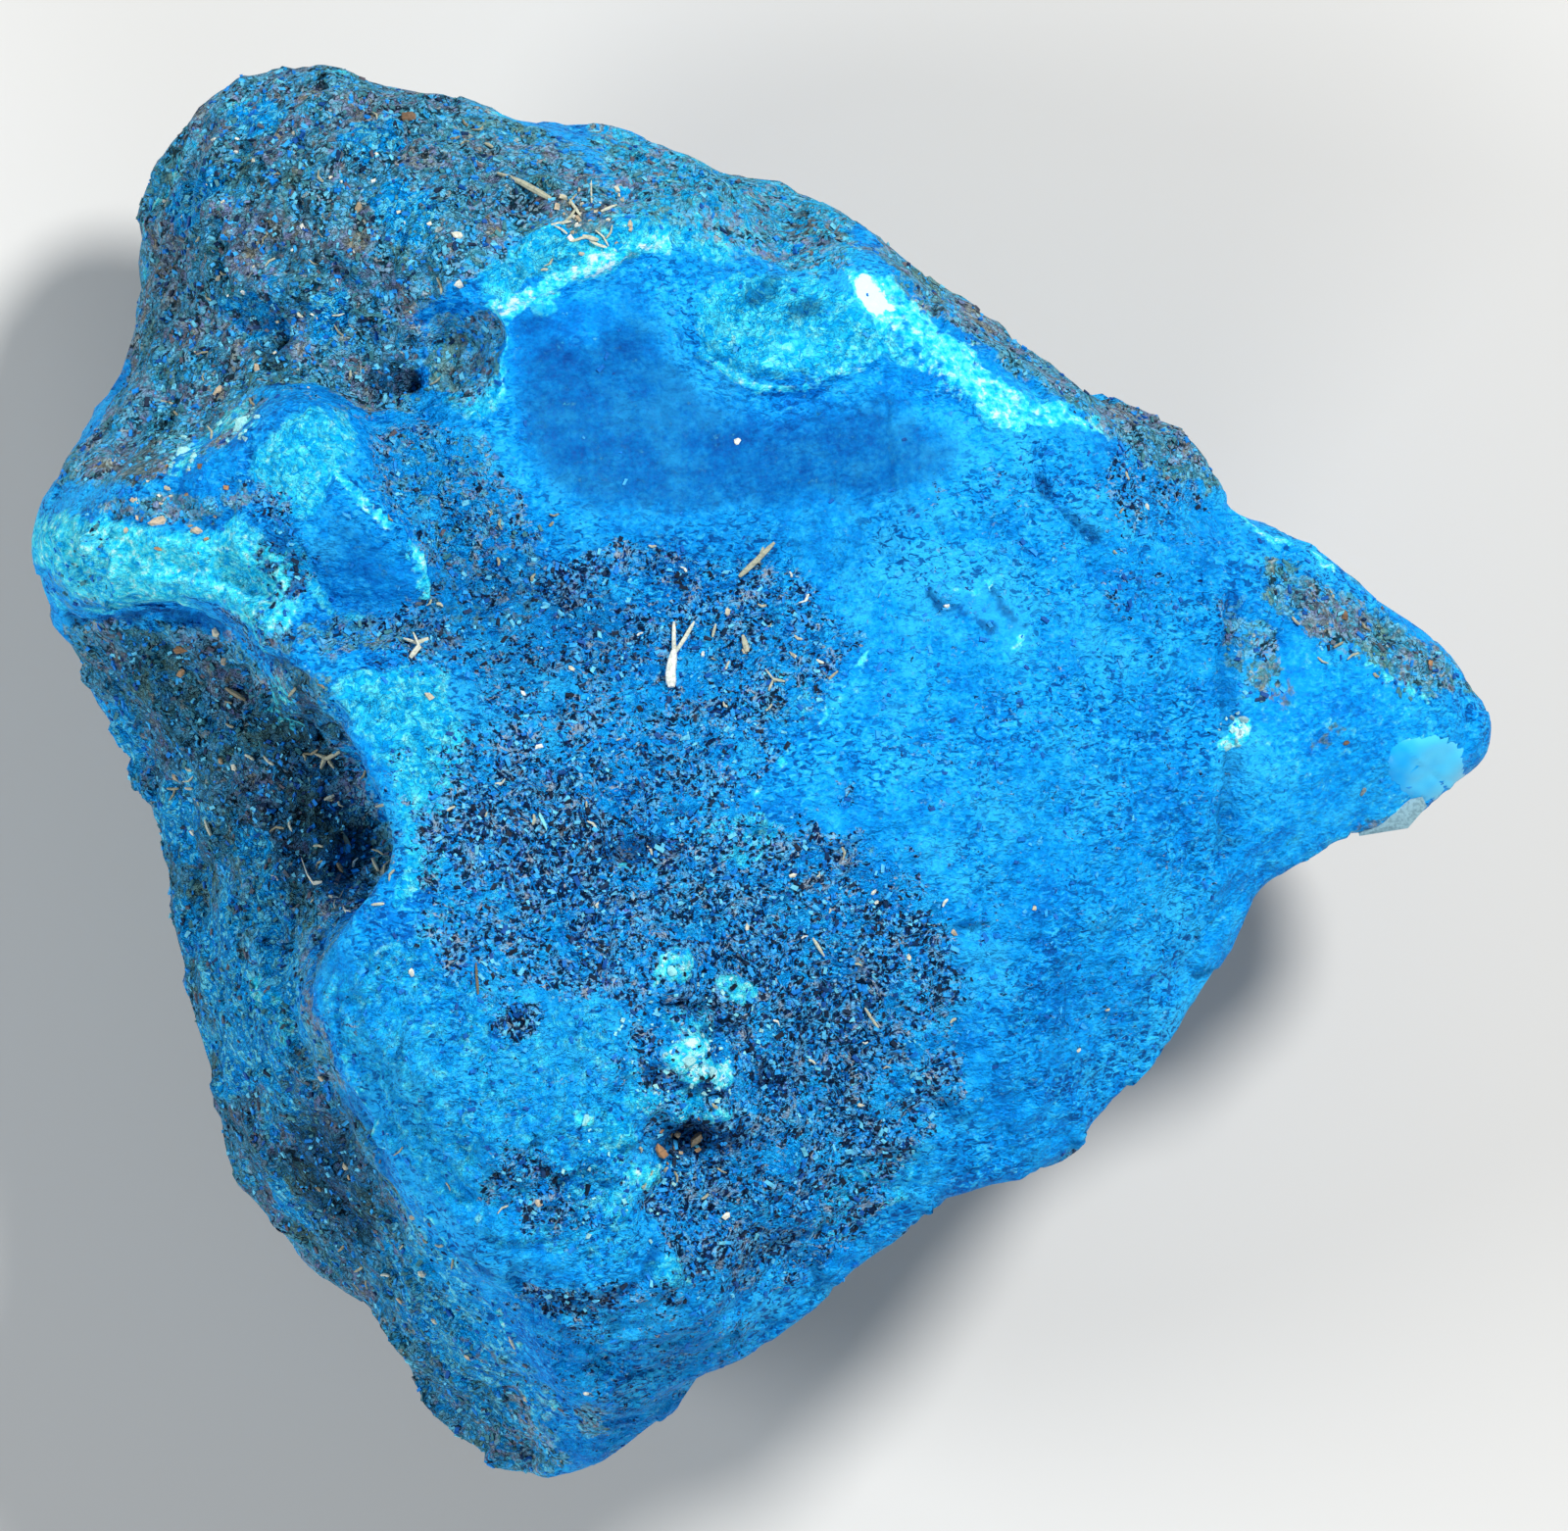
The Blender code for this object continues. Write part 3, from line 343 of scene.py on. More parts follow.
# Dry stalks: their path, half their width, their tone and how far their free end lifts
STRAWS = [
    ([(-8.1, 7.6), (-8.2, 8.9), (-7.9, 10.9)], 0.5, 1, 0.6),
    ([(-7.9, 10.6), (-7.9, 12), (-7.9, 13.4)], 0.2, 0.97, 0.8),
    ([(-7.8, 10.6), (-6.9, 12), (-6.1, 13.4)], 0.2, 0.93, 1),
    ([(-4.5, 12), (-4.2, 13.2)], 0.14, 0.8, 0.2),
    ([(-1.8, 12.2), (-1.4, 10.7)], 0.28, 0.72, 0.2),
    ([(0.2, 9.2), (0.9, 8.3), (1.9, 8.1)], 0.13, 0.75, 0.3),
    ([(0.9, 8.3), (0.5, 7.3)], 0.13, 0.75, 0.2),
    ([(5.2, 9.2), (5.8, 8.3), (6.6, 9)], 0.13, 0.5, 0.2),
    ([(-2.1, 17.4), (-0.6, 18.8), (1, 20.4)], 0.28, 0.66, 0.8),
    ([(-0.4, 18.6), (0, 20)], 0.18, 0.72, 0.8),
    ([(-23.6, 53.3), (-21.4, 52.4), (-18.8, 50.9)], 0.3, 0.7, 0.4),
    ([(-18.8, 48.6), (-17, 48.9)], 0.16, 0.9, 0.2),
    ([(-17.2, 50.9), (-16.2, 49.4)], 0.15, 0.85, 0.2),
    ([(-13, 50.4), (-14.4, 49.8)], 0.16, 0.9, 0.2),
    ([(-14.6, 47.2), (-16, 47.6)], 0.22, 0.85, 0.2),
    ([(-30.9, 12.4), (-30.4, 11.2), (-31.2, 10.2)], 0.28, 0.92, 0.3),
    ([(-31.8, 11.9), (-30.6, 11.5), (-29.6, 11.9)], 0.22, 0.9, 0.3),
    ([(-38.9, 1.6), (-39.4, 0.4)], 0.24, 0.62, 0.3),
    ([(-39.9, 1.7), (-38.8, 1.3), (-37.6, 1.9)], 0.22, 0.66, 0.4),
    ([(-38.8, 1.3), (-38.2, 0.4)], 0.2, 0.6, 0.3),
    ([(-39.1, -2.4), (-38.2, -2)], 0.18, 0.85, 0.2),
    ([(-34.5, -3), (-33.6, -2.8)], 0.16, 0.85, 0.2),
    ([(-37.5, -5.3), (-36.8, -6.7)], 0.26, 0.45, 0.2),
    ([(-37.9, -8), (-37.4, -8.8)], 0.24, 0.2, 0.2),
    ([(-34.8, -7.6), (-34.2, -8.7)], 0.18, 0.7, 0.2),
    ([(-41.1, -7.6), (-40.5, -9.1), (-40, -9.8), (-39.2, -9.7)], 0.2, 0.95, 0.3),
    ([(-38.6, -10.9), (-37.7, -11.2), (-37.3, -10.4)], 0.18, 0.93, 0.3),
    ([(-50, -4.2), (-49.4, -5.6)], 0.2, 0.9, 0.2),
    ([(-48, 7.6), (-46.2, 6.5)], 0.26, 0.32, 0.2),
    ([(-25.3, -16.7), (-25.1, -19.5)], 0.14, 0.1, 0.1),
    ([(-22.6, -50), (-22.1, -51.2)], 0.16, 0.85, 0.1),
    ([(4.4, -14.6), (5.4, -16.2)], 0.16, 0.9, 0.2),
    ([(9, -20.8), (10.2, -22.6)], 0.16, 0.7, 0.2),
]
# A stalk drops by no more than this for each millimetre of its way
STEEPEST_DROP = 1.3
# Chaff strewn around a middle: reach, number, lengths and tones
CHAFF = [
    ((-33, 46), 14, 19, (0.6, 1.6), (0.3, 0.9)), ((-47, 40), 10, 10, (0.5, 1.3), (0.3, 0.8)),
    ((-16, 49), 3.6, 8, (0.8, 2.2), (0.55, 0.95)), ((-1, 11.5), 8, 10, (0.4, 1.2), (0.6, 1)),
    ((-4, 14.5), 9, 6, (0.4, 0.9), (0.55, 1)), ((-44, 0), 10, 19, (0.5, 1.4), (0.25, 0.95)),
    ((-38, -8), 6, 11, (0.5, 1.5), (0.4, 1)), ((-26, 20), 8, 10, (0.4, 1), (0.3, 0.8)),
    ((8, -17), 10, 11, (0.4, 1.3), (0.65, 1)), ((-18, -4), 10, 9, (0.4, 1.1), (0.7, 1)),
    ((-32, -40), 9, 13, (0.4, 1.2), (0.4, 0.95)), ((-7, -33), 5, 8, (0.4, 1.2), (0.45, 0.9)),
    ((52, 12), 5, 7, (0.4, 1.2), (0.35, 0.8)), ((34, 23), 5, 3, (0.3, 0.8), (0.4, 0.9)),
]
# Larger chips: place, reach along, across and upwards, turn in degrees and tone
CHIPS = [
    ((-56.6, 40.8), (0.9, 0.6, 0.5), 80, 0.62), ((-52, 11), (0.7, 0.5, 0.4), 20, 0.62),
    ((-52, 9.1), (0.6, 0.45, 0.4), 60, 0.66), ((-48.7, 12.5), (0.5, 0.4, 0.3), 0, 0.85),
    ((-48.1, 9.9), (0.4, 0.4, 0.3), 0, 0.75), ((-53.6, 22.2), (0.9, 0.6, 0.5), 10, 0.78),
    ((-50.2, 21.4), (0.8, 0.5, 0.4), -15, 0.78), ((-46.3, 30.8), (1, 0.8, 0.5), 30, 0.5),
    ((-51.5, 28.5), (0.8, 0.7, 0.5), 0, 0.5), ((-27.1, 47.7), (0.6, 0.4, 0.3), 40, 0.92),
    ((-26.9, 43.4), (0.5, 0.4, 0.3), 0, 0.95), ((-31.6, 58.4), (0.9, 0.6, 0.4), 30, 0.6),
    ((-36, 50.2), (0.7, 0.35, 0.3), 70, 0.7), ((-48.5, 34), (0.6, 0.4, 0.3), 0, 0.75),
    ((-45, 36), (0.5, 0.4, 0.3), 0, 0.75), ((-2.3, 29.4), (0.35, 0.3, 0.15), 0, 0.95),
    ((-1.5, 10.9), (0.5, 0.35, 0.3), 30, 0.8), ((-17, 9.2), (0.4, 0.3, 0.2), 0, 0.9),
    ((-21.2, 7), (0.4, 0.3, 0.25), 0, 0.97), ((-19.8, 2.4), (0.45, 0.4, 0.3), 0, 0.97),
    ((-3.2, 14.3), (0.4, 0.3, 0.2), 0, 0.85), ((2.6, 10.4), (0.5, 0.3, 0.2), 0, 0.85),
    ((-29.5, 6.7), (0.5, 0.3, 0.2), 0, 0.82), ((-9.1, -33.5), (0.9, 0.7, 0.5), 20, 0.63),
    ((-5.9, -32.4), (0.9, 0.6, 0.5), -40, 0.72), ((-7.6, -32), (0.5, 0.35, 0.3), 0, 0.8),
    ((-6.6, -25.3), (0.8, 0.5, 0.4), -30, 0.52), ((-4.6, -26.3), (0.6, 0.4, 0.3), 10, 0.52),
    ((-8.1, -17.4), (0.7, 0.5, 0.4), 20, 0.48), ((-15.6, -30.6), (0.6, 0.4, 0.3), 0, 0.5),
    ((-31, -17.5), (0.45, 0.3, 0.2), 20, 0.93), ((-3.3, -39.1), (0.5, 0.4, 0.3), 0, 0.95),
    ((-19.8, -37.9), (0.45, 0.4, 0.3), 0, 0.78), ((9.8, -10.5), (0.4, 0.25, 0.2), 60, 0.93),
    ((10, -11.4), (0.35, 0.2, 0.2), 20, 0.93), ((-1.5, -13.6), (0.4, 0.25, 0.2), 0, 0.9),
    ((2.6, -9), (0.4, 0.25, 0.2), 0, 0.9), ((12.9, -16.3), (0.35, 0.3, 0.2), 0, 0.88),
    ((8.6, -29.4), (0.4, 0.3, 0.2), 0, 0.9), ((16.9, -14.1), (0.4, 0.3, 0.2), 70, 0.75),
    ((16.2, 14.8), (0.35, 0.25, 0.2), 0, 0.97), ((34, 23.6), (0.4, 0.3, 0.2), 0, 0.93),
    ((24, -12), (0.3, 0.25, 0.15), 0, 0.85), ((28, -24.6), (0.35, 0.25, 0.2), 0, 0.9),
    ((30.6, -21), (0.3, 0.2, 0.15), 0, 0.85), ((42.7, 4.7), (0.6, 0.4, 0.3), 40, 0.55),
    ((41.3, 2.4), (0.6, 0.5, 0.3), 0, 0.52), ((59.4, 9.7), (0.5, 0.35, 0.3), 0, 0.63),
    ((51.7, 14), (0.6, 0.4, 0.3), 0, 0.6), ((51.9, 2.7), (0.4, 0.35, 0.2), 0, 0.6),
    ((-47.1, 0.5), (0.4, 0.35, 0.3), 0, 0.9), ((-52.7, -0.3), (0.4, 0.35, 0.3), 0, 0.75),
    ((-51.1, -5.3), (0.35, 0.3, 0.3), 0, 0.93), ((-48.4, 1), (0.4, 0.3, 0.3), 0, 0.7),
    ((-39.1, -27), (0.4, 0.3, 0.3), 0, 0.8), ((-37.1, -35), (0.45, 0.3, 0.3), 30, 0.85),
    ((-31.1, -39.4), (0.45, 0.3, 0.3), 50, 0.8), ((-30.3, -44.5), (0.4, 0.3, 0.3), 0, 0.9),
    ((-32.4, -47), (0.4, 0.3, 0.3), 0, 0.75), ((-29.3, -48.9), (0.4, 0.25, 0.2), 0, 0.85),
    ((-26.4, -52), (0.4, 0.3, 0.2), 0, 0.8), ((-21.2, -55.9), (0.4, 0.3, 0.2), 0, 0.8),
    ((-36.8, -36), (0.3, 0.3, 0.2), 0, 0.7), ((-15.7, -55.1), (0.4, 0.3, 0.2), 0, 0.93),
    ((53.4, -1.6), (0.5, 0.3, 0.2), 20, 0.58), ((-19.5, -4.2), (1.4, 0.28, 0.25), -40, 0.46),
]
# Crumbs heaped on the lumps: the middle, the reach, the number, their sizes and tones
CRUMBS = [
    ((-6.5, -23.5), 7, 60, (0.12, 0.32), (0.42, 0.54)),
    ((-6.5, -27), 4, 26, (0.12, 0.34), (0.44, 0.54)),
    ((-6.8, -32.8), 2.6, 10, (0.15, 0.35), (0.6, 0.74)),
    ((42, 3.8), 1.6, 12, (0.12, 0.35), (0.5, 0.56)),
    ((-52, 23.6), 5, 22, (0.15, 0.4), (0.6, 0.95)),
    ((-46.6, 31), 2, 16, (0.15, 0.4), (0.46, 0.54)),
    ((-51.6, 28.2), 1.8, 12, (0.15, 0.4), (0.46, 0.54)),
    ((-15, 49.4), 3.6, 30, (0.12, 0.4), (0.7, 1)),
    ((-12, -36), 6, 26, (0.12, 0.3), (0.44, 0.54)), ((-42, 47), 13, 36, (0.12, 0.34), (0.84, 1)),
]
# Grit: how many grains, how many are tried before they are joined on, and how far from the
# middle of the stone they are strewn to the sides and up and down
GRIT_COUNT = 8400
GRIT_BATCH = 400
GRIT_REACH = (66.0, 64.0)
# What tones the grit has in each place: numbers along the grit's run of colours
CRUST_GRIT = [0.1, 0.18, 0.26, 0.26, 0.34, 0.34, 0.42, 0.42, 0.54, 0.58, 0.58, 0.66]
DIRT_GRIT = [0.06, 0.07, 0.1, 0.16, 0.22, 0.26, 0.3, 0.34, 0.34, 0.4, 0.42]
STRAY_GRIT = [0.18, 0.22, 0.26, 0.26, 0.3, 0.34]
GRIT_TONES = [
    (0.04, (0.001, 0.006, 0.02)), (0.1, (0.001, 0.02, 0.06)), (0.18, (0, 0.09, 0.4)),
    (0.26, (0, 0.24, 0.78)), (0.34, (0.03, 0.42, 0.9)), (0.42, (0.15, 0.62, 0.85)),
    (0.5, (0.02, 0.14, 0.18)), (0.58, (0.06, 0.25, 0.3)), (0.66, (0.1, 0.1, 0.14)),
    (0.75, (0.25, 0.17, 0.11)), (0.85, (0.5, 0.42, 0.3)), (0.95, (0.75, 0.78, 0.72)),
]
CHIP_TONES = [
    (0.45, (0.2, 0.72, 0.85)), (0.5, (0.4, 0.85, 0.85)), (0.56, (0.24, 0.42, 0.5)),
    (0.6, (0.2, 0.12, 0.07)), (0.64, (0.46, 0.25, 0.12)), (0.7, (0.42, 0.33, 0.21)),
    (0.78, (0.58, 0.48, 0.35)), (0.86, (0.6, 0.58, 0.43)), (0.93, (0.76, 0.77, 0.65)),
    (1, (0.85, 0.87, 0.82)),
]
STRAW_TONES = [
    (0, (0.12, 0.09, 0.06)), (0.25, (0.24, 0.21, 0.14)), (0.5, (0.36, 0.36, 0.25)),
    (0.75, (0.48, 0.5, 0.38)), (0.9, (0.62, 0.65, 0.52)), (1, (0.8, 0.84, 0.76)),
]

# The spot that shines like glass: its outline, the lowest point of the stone that it
# covers, how many cells it has each way, how far it stands off the skin, how far its border
# sinks in, and its thickness
GLAZE = [
    (56.2, -1.2), (55.4, 2.2), (58.8, 3.4), (62.2, 3), (63, -0.6), (61, -2.2), (58.8, -2.8),
]
GLAZE_LOW = 40.0
GLAZE_CELLS = 22
GLAZE_LIFT = 0.22
GLAZE_SINK = 0.42
GLAZE_DEPTH = 0.6
# The clear plate that juts out below it: its place, reach, turn in degrees and tone, then how
# far in from it the stone is felt for and how far below that place it sits
PLATE = ((56, -3.9), (3.6, 1.4, 0.5), 16, 0.56)
PLATE_INSET = 1.4
PLATE_DROP = 1.6

# Flat breaks: the outline, how flat it is, its added tilt to the right and upwards, and how
# wide its border is
FACES = [
    (LEDGE_TOP, 0.85, (-0.3, 0.38), 1.4),
    (WEDGE, 1, (0.2, 0.24), 0.3),
    (SCARP, 0.9, (-0.1, -0.15), 0.6),
    (SHELF_SMOOTH, 0.9, (0.05, 0.12), 0.5),
    (GLOSSY, 0.8, (0, 0), 0.8),
    (RECESS_BLUE, 0.7, (0.1, 0.2), 0.5),
    ([(16.4, 15.4), (20.4, 16.4), (23.6, 12.8), (20.8, 12.2)], 1, (0.45, 0.5), 0.25),
    ([(13.6, 16.6), (16.4, 15.4), (20.8, 12.2), (19.6, 9.6), (15, 12.2)], 0.8, (-0.1, -0.1), 0.5),
    ([(9.4, 11.4), (2, 1), (-3.4, -4.4), (6, -7), (16, -3), (20, 9), (14, 15.6)],
     0.6, (-0.05, -0.04), 0.5),
    ([(10.4, 36), (15.4, 33.6), (23.6, 29.6), (21.6, 22), (18.6, 17.4), (12, 20.4)],
     0.6, (-0.04, -0.03), 0.5),
    ([(25.6, 24.8), (24.4, 29.4), (31, 29.4), (36, 25.6), (33, 19.6), (28.6, 21.2)],
     0.6, (-0.06, 0.05), 0.4),
    ([(-21.2, 40), (-20.8, 42), (-17.6, 43.4), (-17.2, 40.2)], 0.9, (-0.05, -0.2), 0.3),
    ([(-39.9, 6.6), (-39.6, 3), (-37, 3.2), (-36.8, 6.4)], 0.9, (0.1, 0.1), 0.3),
    ([(-58.4, 15.2), (-50, 15.2), (-50.4, 13.2), (-58, 13)], 0.8, (0, 0.3), 0.3),
]

# Broken grain of the skin, in millimetres: the size of its facets and waves, their height on
# bare stone and what rough stretches add
FACET_GRAIN = [(6.5, 0.6, 0.6), (3.2, 0.42, 0.6), (1.6, 0.16, 0.25)]
WAVE_GRAIN = [(9.0, 0.4, 0.6), (3.2, 0.25, 0.9), (1.5, 0.1, 0.3)]
# Flat dents in the steep sides: their size and depth
SIDE_BREAKS = [(17.0, 1.8), (8.0, 1.2)]

FINISHES = ["crust", "dirt", "pale", "cyan", "shade", "brown", "gloss", "calm", "rough", "azure"]
# How far inside an outline a finish sets in and how far inside it is full: these three fade
# in slowly, the others soon
SLOW_FINISHES = ["calm", "shade", "rough"]
SLOW_BORDER = (-1.0, 4.0)
QUICK_BORDER = (-0.6, 1.0)

# How far the floor reaches from the stone, in metres
FLOOR_REACH = 1.5
# Lamps: the way to them from the stone, how wide they are, their power and their colour
LAMPS = {
    "key": ((0.38, 0.42, 0.8), 0.18, 13.1, (1.0, 0.98, 0.95)),
    "fill": ((-0.85, -0.1, 0.55), 0.4, 6.0, (0.95, 0.98, 1.0)),
    "low fill": ((0.0, -0.9, 0.5), 0.5, 3.4, (0.93, 0.97, 1.0)),
}
LAMP_DISTANCE = 1.1


def smooth_share(low, high, value):
    """0 below the low value, 1 above the high one, with soft ends."""
    share = np.clip((value - low) / (high - low), 0.0, 1.0)
    return share * share * (3.0 - 2.0 * share)


def inside_by(plan, outline):
    """How far inside an outline each point lies; negative outside it."""
    corners = np.array(outline)
    nearest = np.full(len(plan), np.inf)
    inside = np.zeros(len(plan), bool)
    for start, end in zip(corners, np.roll(corners, -1, axis=0)):
        run = end - start
        share = np.clip((plan - start) @ run / (run @ run), 0.0, 1.0)
        gap = np.linalg.norm(plan - start - share[:, None] * run, axis=1)
        nearest = np.minimum(nearest, gap)
        level = (start[1] > plan[:, 1]) != (end[1] > plan[:, 1])
        if run[1]:
            inside ^= level & (plan[:, 0] < start[0] + (plan[:, 1] - start[1]) * run[0] / run[1])
    return np.where(inside, nearest, -nearest)


def gap_to_path(places, path):
    """How far each point is from a path through points in space."""
    nearest = np.full(len(places), np.inf)
    for start, end in zip(path, path[1:]):
        run = end - start
        share = np.clip((places - start) @ run / (run @ run), 0.0, 1.0)
        nearest = np.minimum(nearest, np.linalg.norm(places - start - share[:, None] * run, axis=1))
    return nearest


def patch_reach(plan, middle, along, across, turn):
    """How far out from an oval patch's middle each point lies; 1 on its border."""
    cosine, sine = math.cos(math.radians(turn)), math.sin(math.radians(turn))
    gap = plan - np.array(middle)
    return np.hypot((gap[:, 0] * cosine + gap[:, 1] * sine) / along,
                    (gap[:, 1] * cosine - gap[:, 0] * sine) / across)


def waves(places, size, salt):
    """Smooth noise of about -1 to 1 at each place, with waves of the given size."""
    step = Vector((salt * 17.3, salt * 5.1, salt * 9.7))
    return np.array([noise.noise(Vector(place) / size + step) for place in places])


def facets(places, size, salt):
    """Broken facets: each place's height on the tilted plane of its nearest grain."""
    step = Vector((salt * 13.7, salt * 3.3, salt * 8.9))
    heights = np.empty(len(places))
    for index, place in enumerate(places):
        place = Vector(place) / size + step
        grain = noise.voronoi(place)[1][0]
        tilt = noise.cell_vector(grain * 9.1) - Vector((0.5, 0.5, 0.5))
        heights[index] = (place - grain).dot(tilt) * 2.0
    return heights


def as_mesh(form, name):
    """Turn a finished bmesh into a mesh."""
    mesh = bpy.data.meshes.new(name)
    form.to_mesh(mesh)
    form.free()
    return mesh


def evaluated_mesh(piece):
    """A copy of a piece's mesh with its modifiers worked in."""
    graph = bpy.context.evaluated_depsgraph_get()
    return bpy.data.meshes.new_from_object(piece.evaluated_get(graph))


def new_piece(name, mesh, material):
    piece = bpy.data.objects.new(name, mesh)
    bpy.context.scene.collection.objects.link(piece)
    mesh.name = name
    mesh.materials.clear()
    mesh.materials.append(material)
    return piece


def fine_skin():
    """The solid's surface as an even mesh, twice as fine on the side that the camera sees."""
    form = bmesh.new()
    form.from_mesh(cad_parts["stone"].data)
    bmesh.ops.remove_doubles(form, verts=form.verts, dist=MERGE_REACH)
    skin = bpy.data.objects.new("skin", as_mesh(form, "skin"))
    bpy.context.scene.collection.objects.link(skin)
    rounding = skin.modifiers.new("Rounding", "SUBSURF")
    rounding.levels = 1
    rounding.render_levels = 1
    even = skin.modifiers.new("Even", "REMESH")
    even.mode = "VOXEL"
    even.voxel_size = SKIN_STEP
    mesh = evaluated_mesh(skin)
    bpy.data.objects.remove(skin)
    form = bmesh.new()
    form.from_mesh(mesh)
    form.normal_update()
    seen = [edge for edge in form.edges if any(face.normal.z > 0.2 for face in edge.link_faces)]
    bmesh.ops.subdivide_edges(form, edges=seen, cuts=1, use_grid_fill=True)
    for _ in range(2):
        bmesh.ops.smooth_vert(
            form, verts=form.verts, factor=0.5, use_axis_x=True, use_axis_y=True, use_axis_z=True)
    form.to_mesh(mesh)
    form.free()
    return mesh


class Skin:
    """The fine skin's points, in millimetres, and how much of each finish they have."""

    def __init__(self, mesh):
        self.mesh = mesh
        count = len(mesh.vertices)
        places = np.empty(count * 3)
        mesh.vertices.foreach_get("co", places)
        self.places = places.reshape(count, 3) / MM
        self.settle()
        self.face_out()
        self.seen = self.seen_from_above()
        self.finish = {name: np.zeros(count) for name in FINISHES}

    def face_out(self):
        """Note which way the skin faces at each point."""
        facing = np.empty(len(self.places) * 3)
        self.mesh.vertex_normals.foreach_get("vector", facing)
        self.facing = facing.reshape(len(self.places), 3)

    def seen_from_above(self):
        """1 where nothing lies above a point, 0 where something does or where it faces down."""
        clear = 0.6  # the look up starts this far off the skin, so that it misses the skin itself
        seen = np.zeros(len(self.places))
        for index in np.flatnonzero(self.facing[:, 2] > -0.3):
            start = Vector(self.places[index] + self.facing[index] * clear)
            seen[index] = self.tree.ray_cast(start, UP)[0] is None
        return seen * smooth_share(-0.3, 0.0, self.facing[:, 2])

    def look_down(self, place):
        """What is seen at a place: the point, the way it faces, its face's number, how far."""
        return self.tree.ray_cast(Vector((place[0], place[1], HIGH)), -UP)

    def on_top(self, place):
        """The point of the skin that is seen at a place, and the way it faces."""
        return self.look_down(place)[:2]

    def path(self, places):
        """The points of the skin that are seen along a path."""
        found = [self.on_top(place)[0] for place in places]
        return [np.array(place) for place in found if place is not None]

    def lay(self, name, share):
        """Give each point at least this much of a finish."""
        self.finish[name] = np.maximum(self.finish[name], share)

    def push(self, height):
        """Move the skin out along its normals, by a height for each point."""
        self.places += self.facing * height[:, None]

    def settle(self):
        """Look the finished skin up from now on."""
        self.tree = BVHTree.FromPolygons(
            [Vector(place) for place in self.places],
            [polygon.vertices[:] for polygon in self.mesh.polygons])

    def store(self):
        """Write the points back to the mesh, none below the floor, and the finishes with them."""
        self.places[:, 2] = np.maximum(self.places[:, 2], 0.0)
        self.mesh.vertices.foreach_set("co", (self.places * MM).ravel())
        self.mesh.update()
        for name in FINISHES:
            layer = self.mesh.attributes.new(name, "FLOAT", "POINT")
            layer.data.foreach_set("value", self.finish[name].astype(np.float32))


def flatten(skin, outline, share, tilt, edge):
    """Bring a stretch of the skin to one plane, tilted by so much to the right and upwards."""
    depth = inside_by(skin.places[:, :2], outline)
    within = (depth > 0.0) & (skin.seen > 0.5)
    plan = skin.places[within]
    middle = plan.mean(axis=0)
    fit = np.linalg.lstsq(
        np.column_stack([plan[:, :2] - middle[:2], np.ones(len(plan))]), plan[:, 2], rcond=None)[0]
    flat = (plan[:, :2] - middle[:2]) @ (fit[:2] + np.array(tilt)) + fit[2]
    blend = share * smooth_share(0.0, edge, depth[within])
    skin.places[within, 2] += (flat - plan[:, 2]) * blend


def lay_finishes(skin):
    """Give each stretch, patch and edge its finish, with wandering borders."""
    plan = skin.places[:, :2]
    wander = waves(skin.places, 4.0, 1) * 1.6 + waves(skin.places, 1.6, 2) * 1.1
    wander += waves(skin.places, 6.5, 9) * 3.6 * smooth_share(0.45, 0.1, skin.facing[:, 2])
    swell = np.maximum(1.0 + waves(skin.places, 2.6, 8) * 1.6, 0.25)
    for outline, amounts in STRETCHES:
        depth = inside_by(plan, outline) + wander * 0.6
        for name, amount in amounts.items():
            low, high = SLOW_BORDER if name in SLOW_FINISHES else QUICK_BORDER
            skin.lay(name, smooth_share(low, high, depth) * skin.seen * amount)
    for name, patches in PATCHES.items():
        for middle, along, across, turn, amount in patches:
            reach = patch_reach(plan, middle, along, across, turn) + wander * 0.3
            skin.lay(name, smooth_share(1.3, 0.5, reach) * skin.seen * amount)
    for path, width, _, name, amount in EDGES:
        gap = gap_to_path(skin.places, skin.path(path)) / swell
        skin.lay(name, smooth_share(width * 1.6, width * 0.4, gap) * amount)
    # the painted shade is mostly lifted where the flank is bare azure
    skin.finish["shade"] *= 1.0 - 0.85 * np.minimum(skin.finish["azure"], 1.0)


def finish_the_back(skin):
    """The sides and the back, which the camera doesn't see, are crust with bare blue breaks."""
    hidden = 1.0 - skin.seen
    cover = waves(skin.places, 16.0, 3) * 0.7 + waves(skin.places, 6.0, 4) * 0.4
    crust = smooth_share(-0.5, 0.2, cover - skin.places[:, 0] * 0.004)
    dirt = smooth_share(0.0, 0.5, waves(skin.places, 11.0, 5))
    brown = smooth_share(0.12, 0.4, waves(skin.places, 8.0, 6))
    pale = smooth_share(0.28, 0.45, waves(skin.places, 7.0, 7))
    for name, share in (("crust", crust * 0.9), ("dirt", dirt * 0.7), ("brown", brown * 0.5),
                        ("pale", pale * 0.6), ("rough", 0.35 + 0.45 * crust)):
        skin.lay(name, share * hidden)


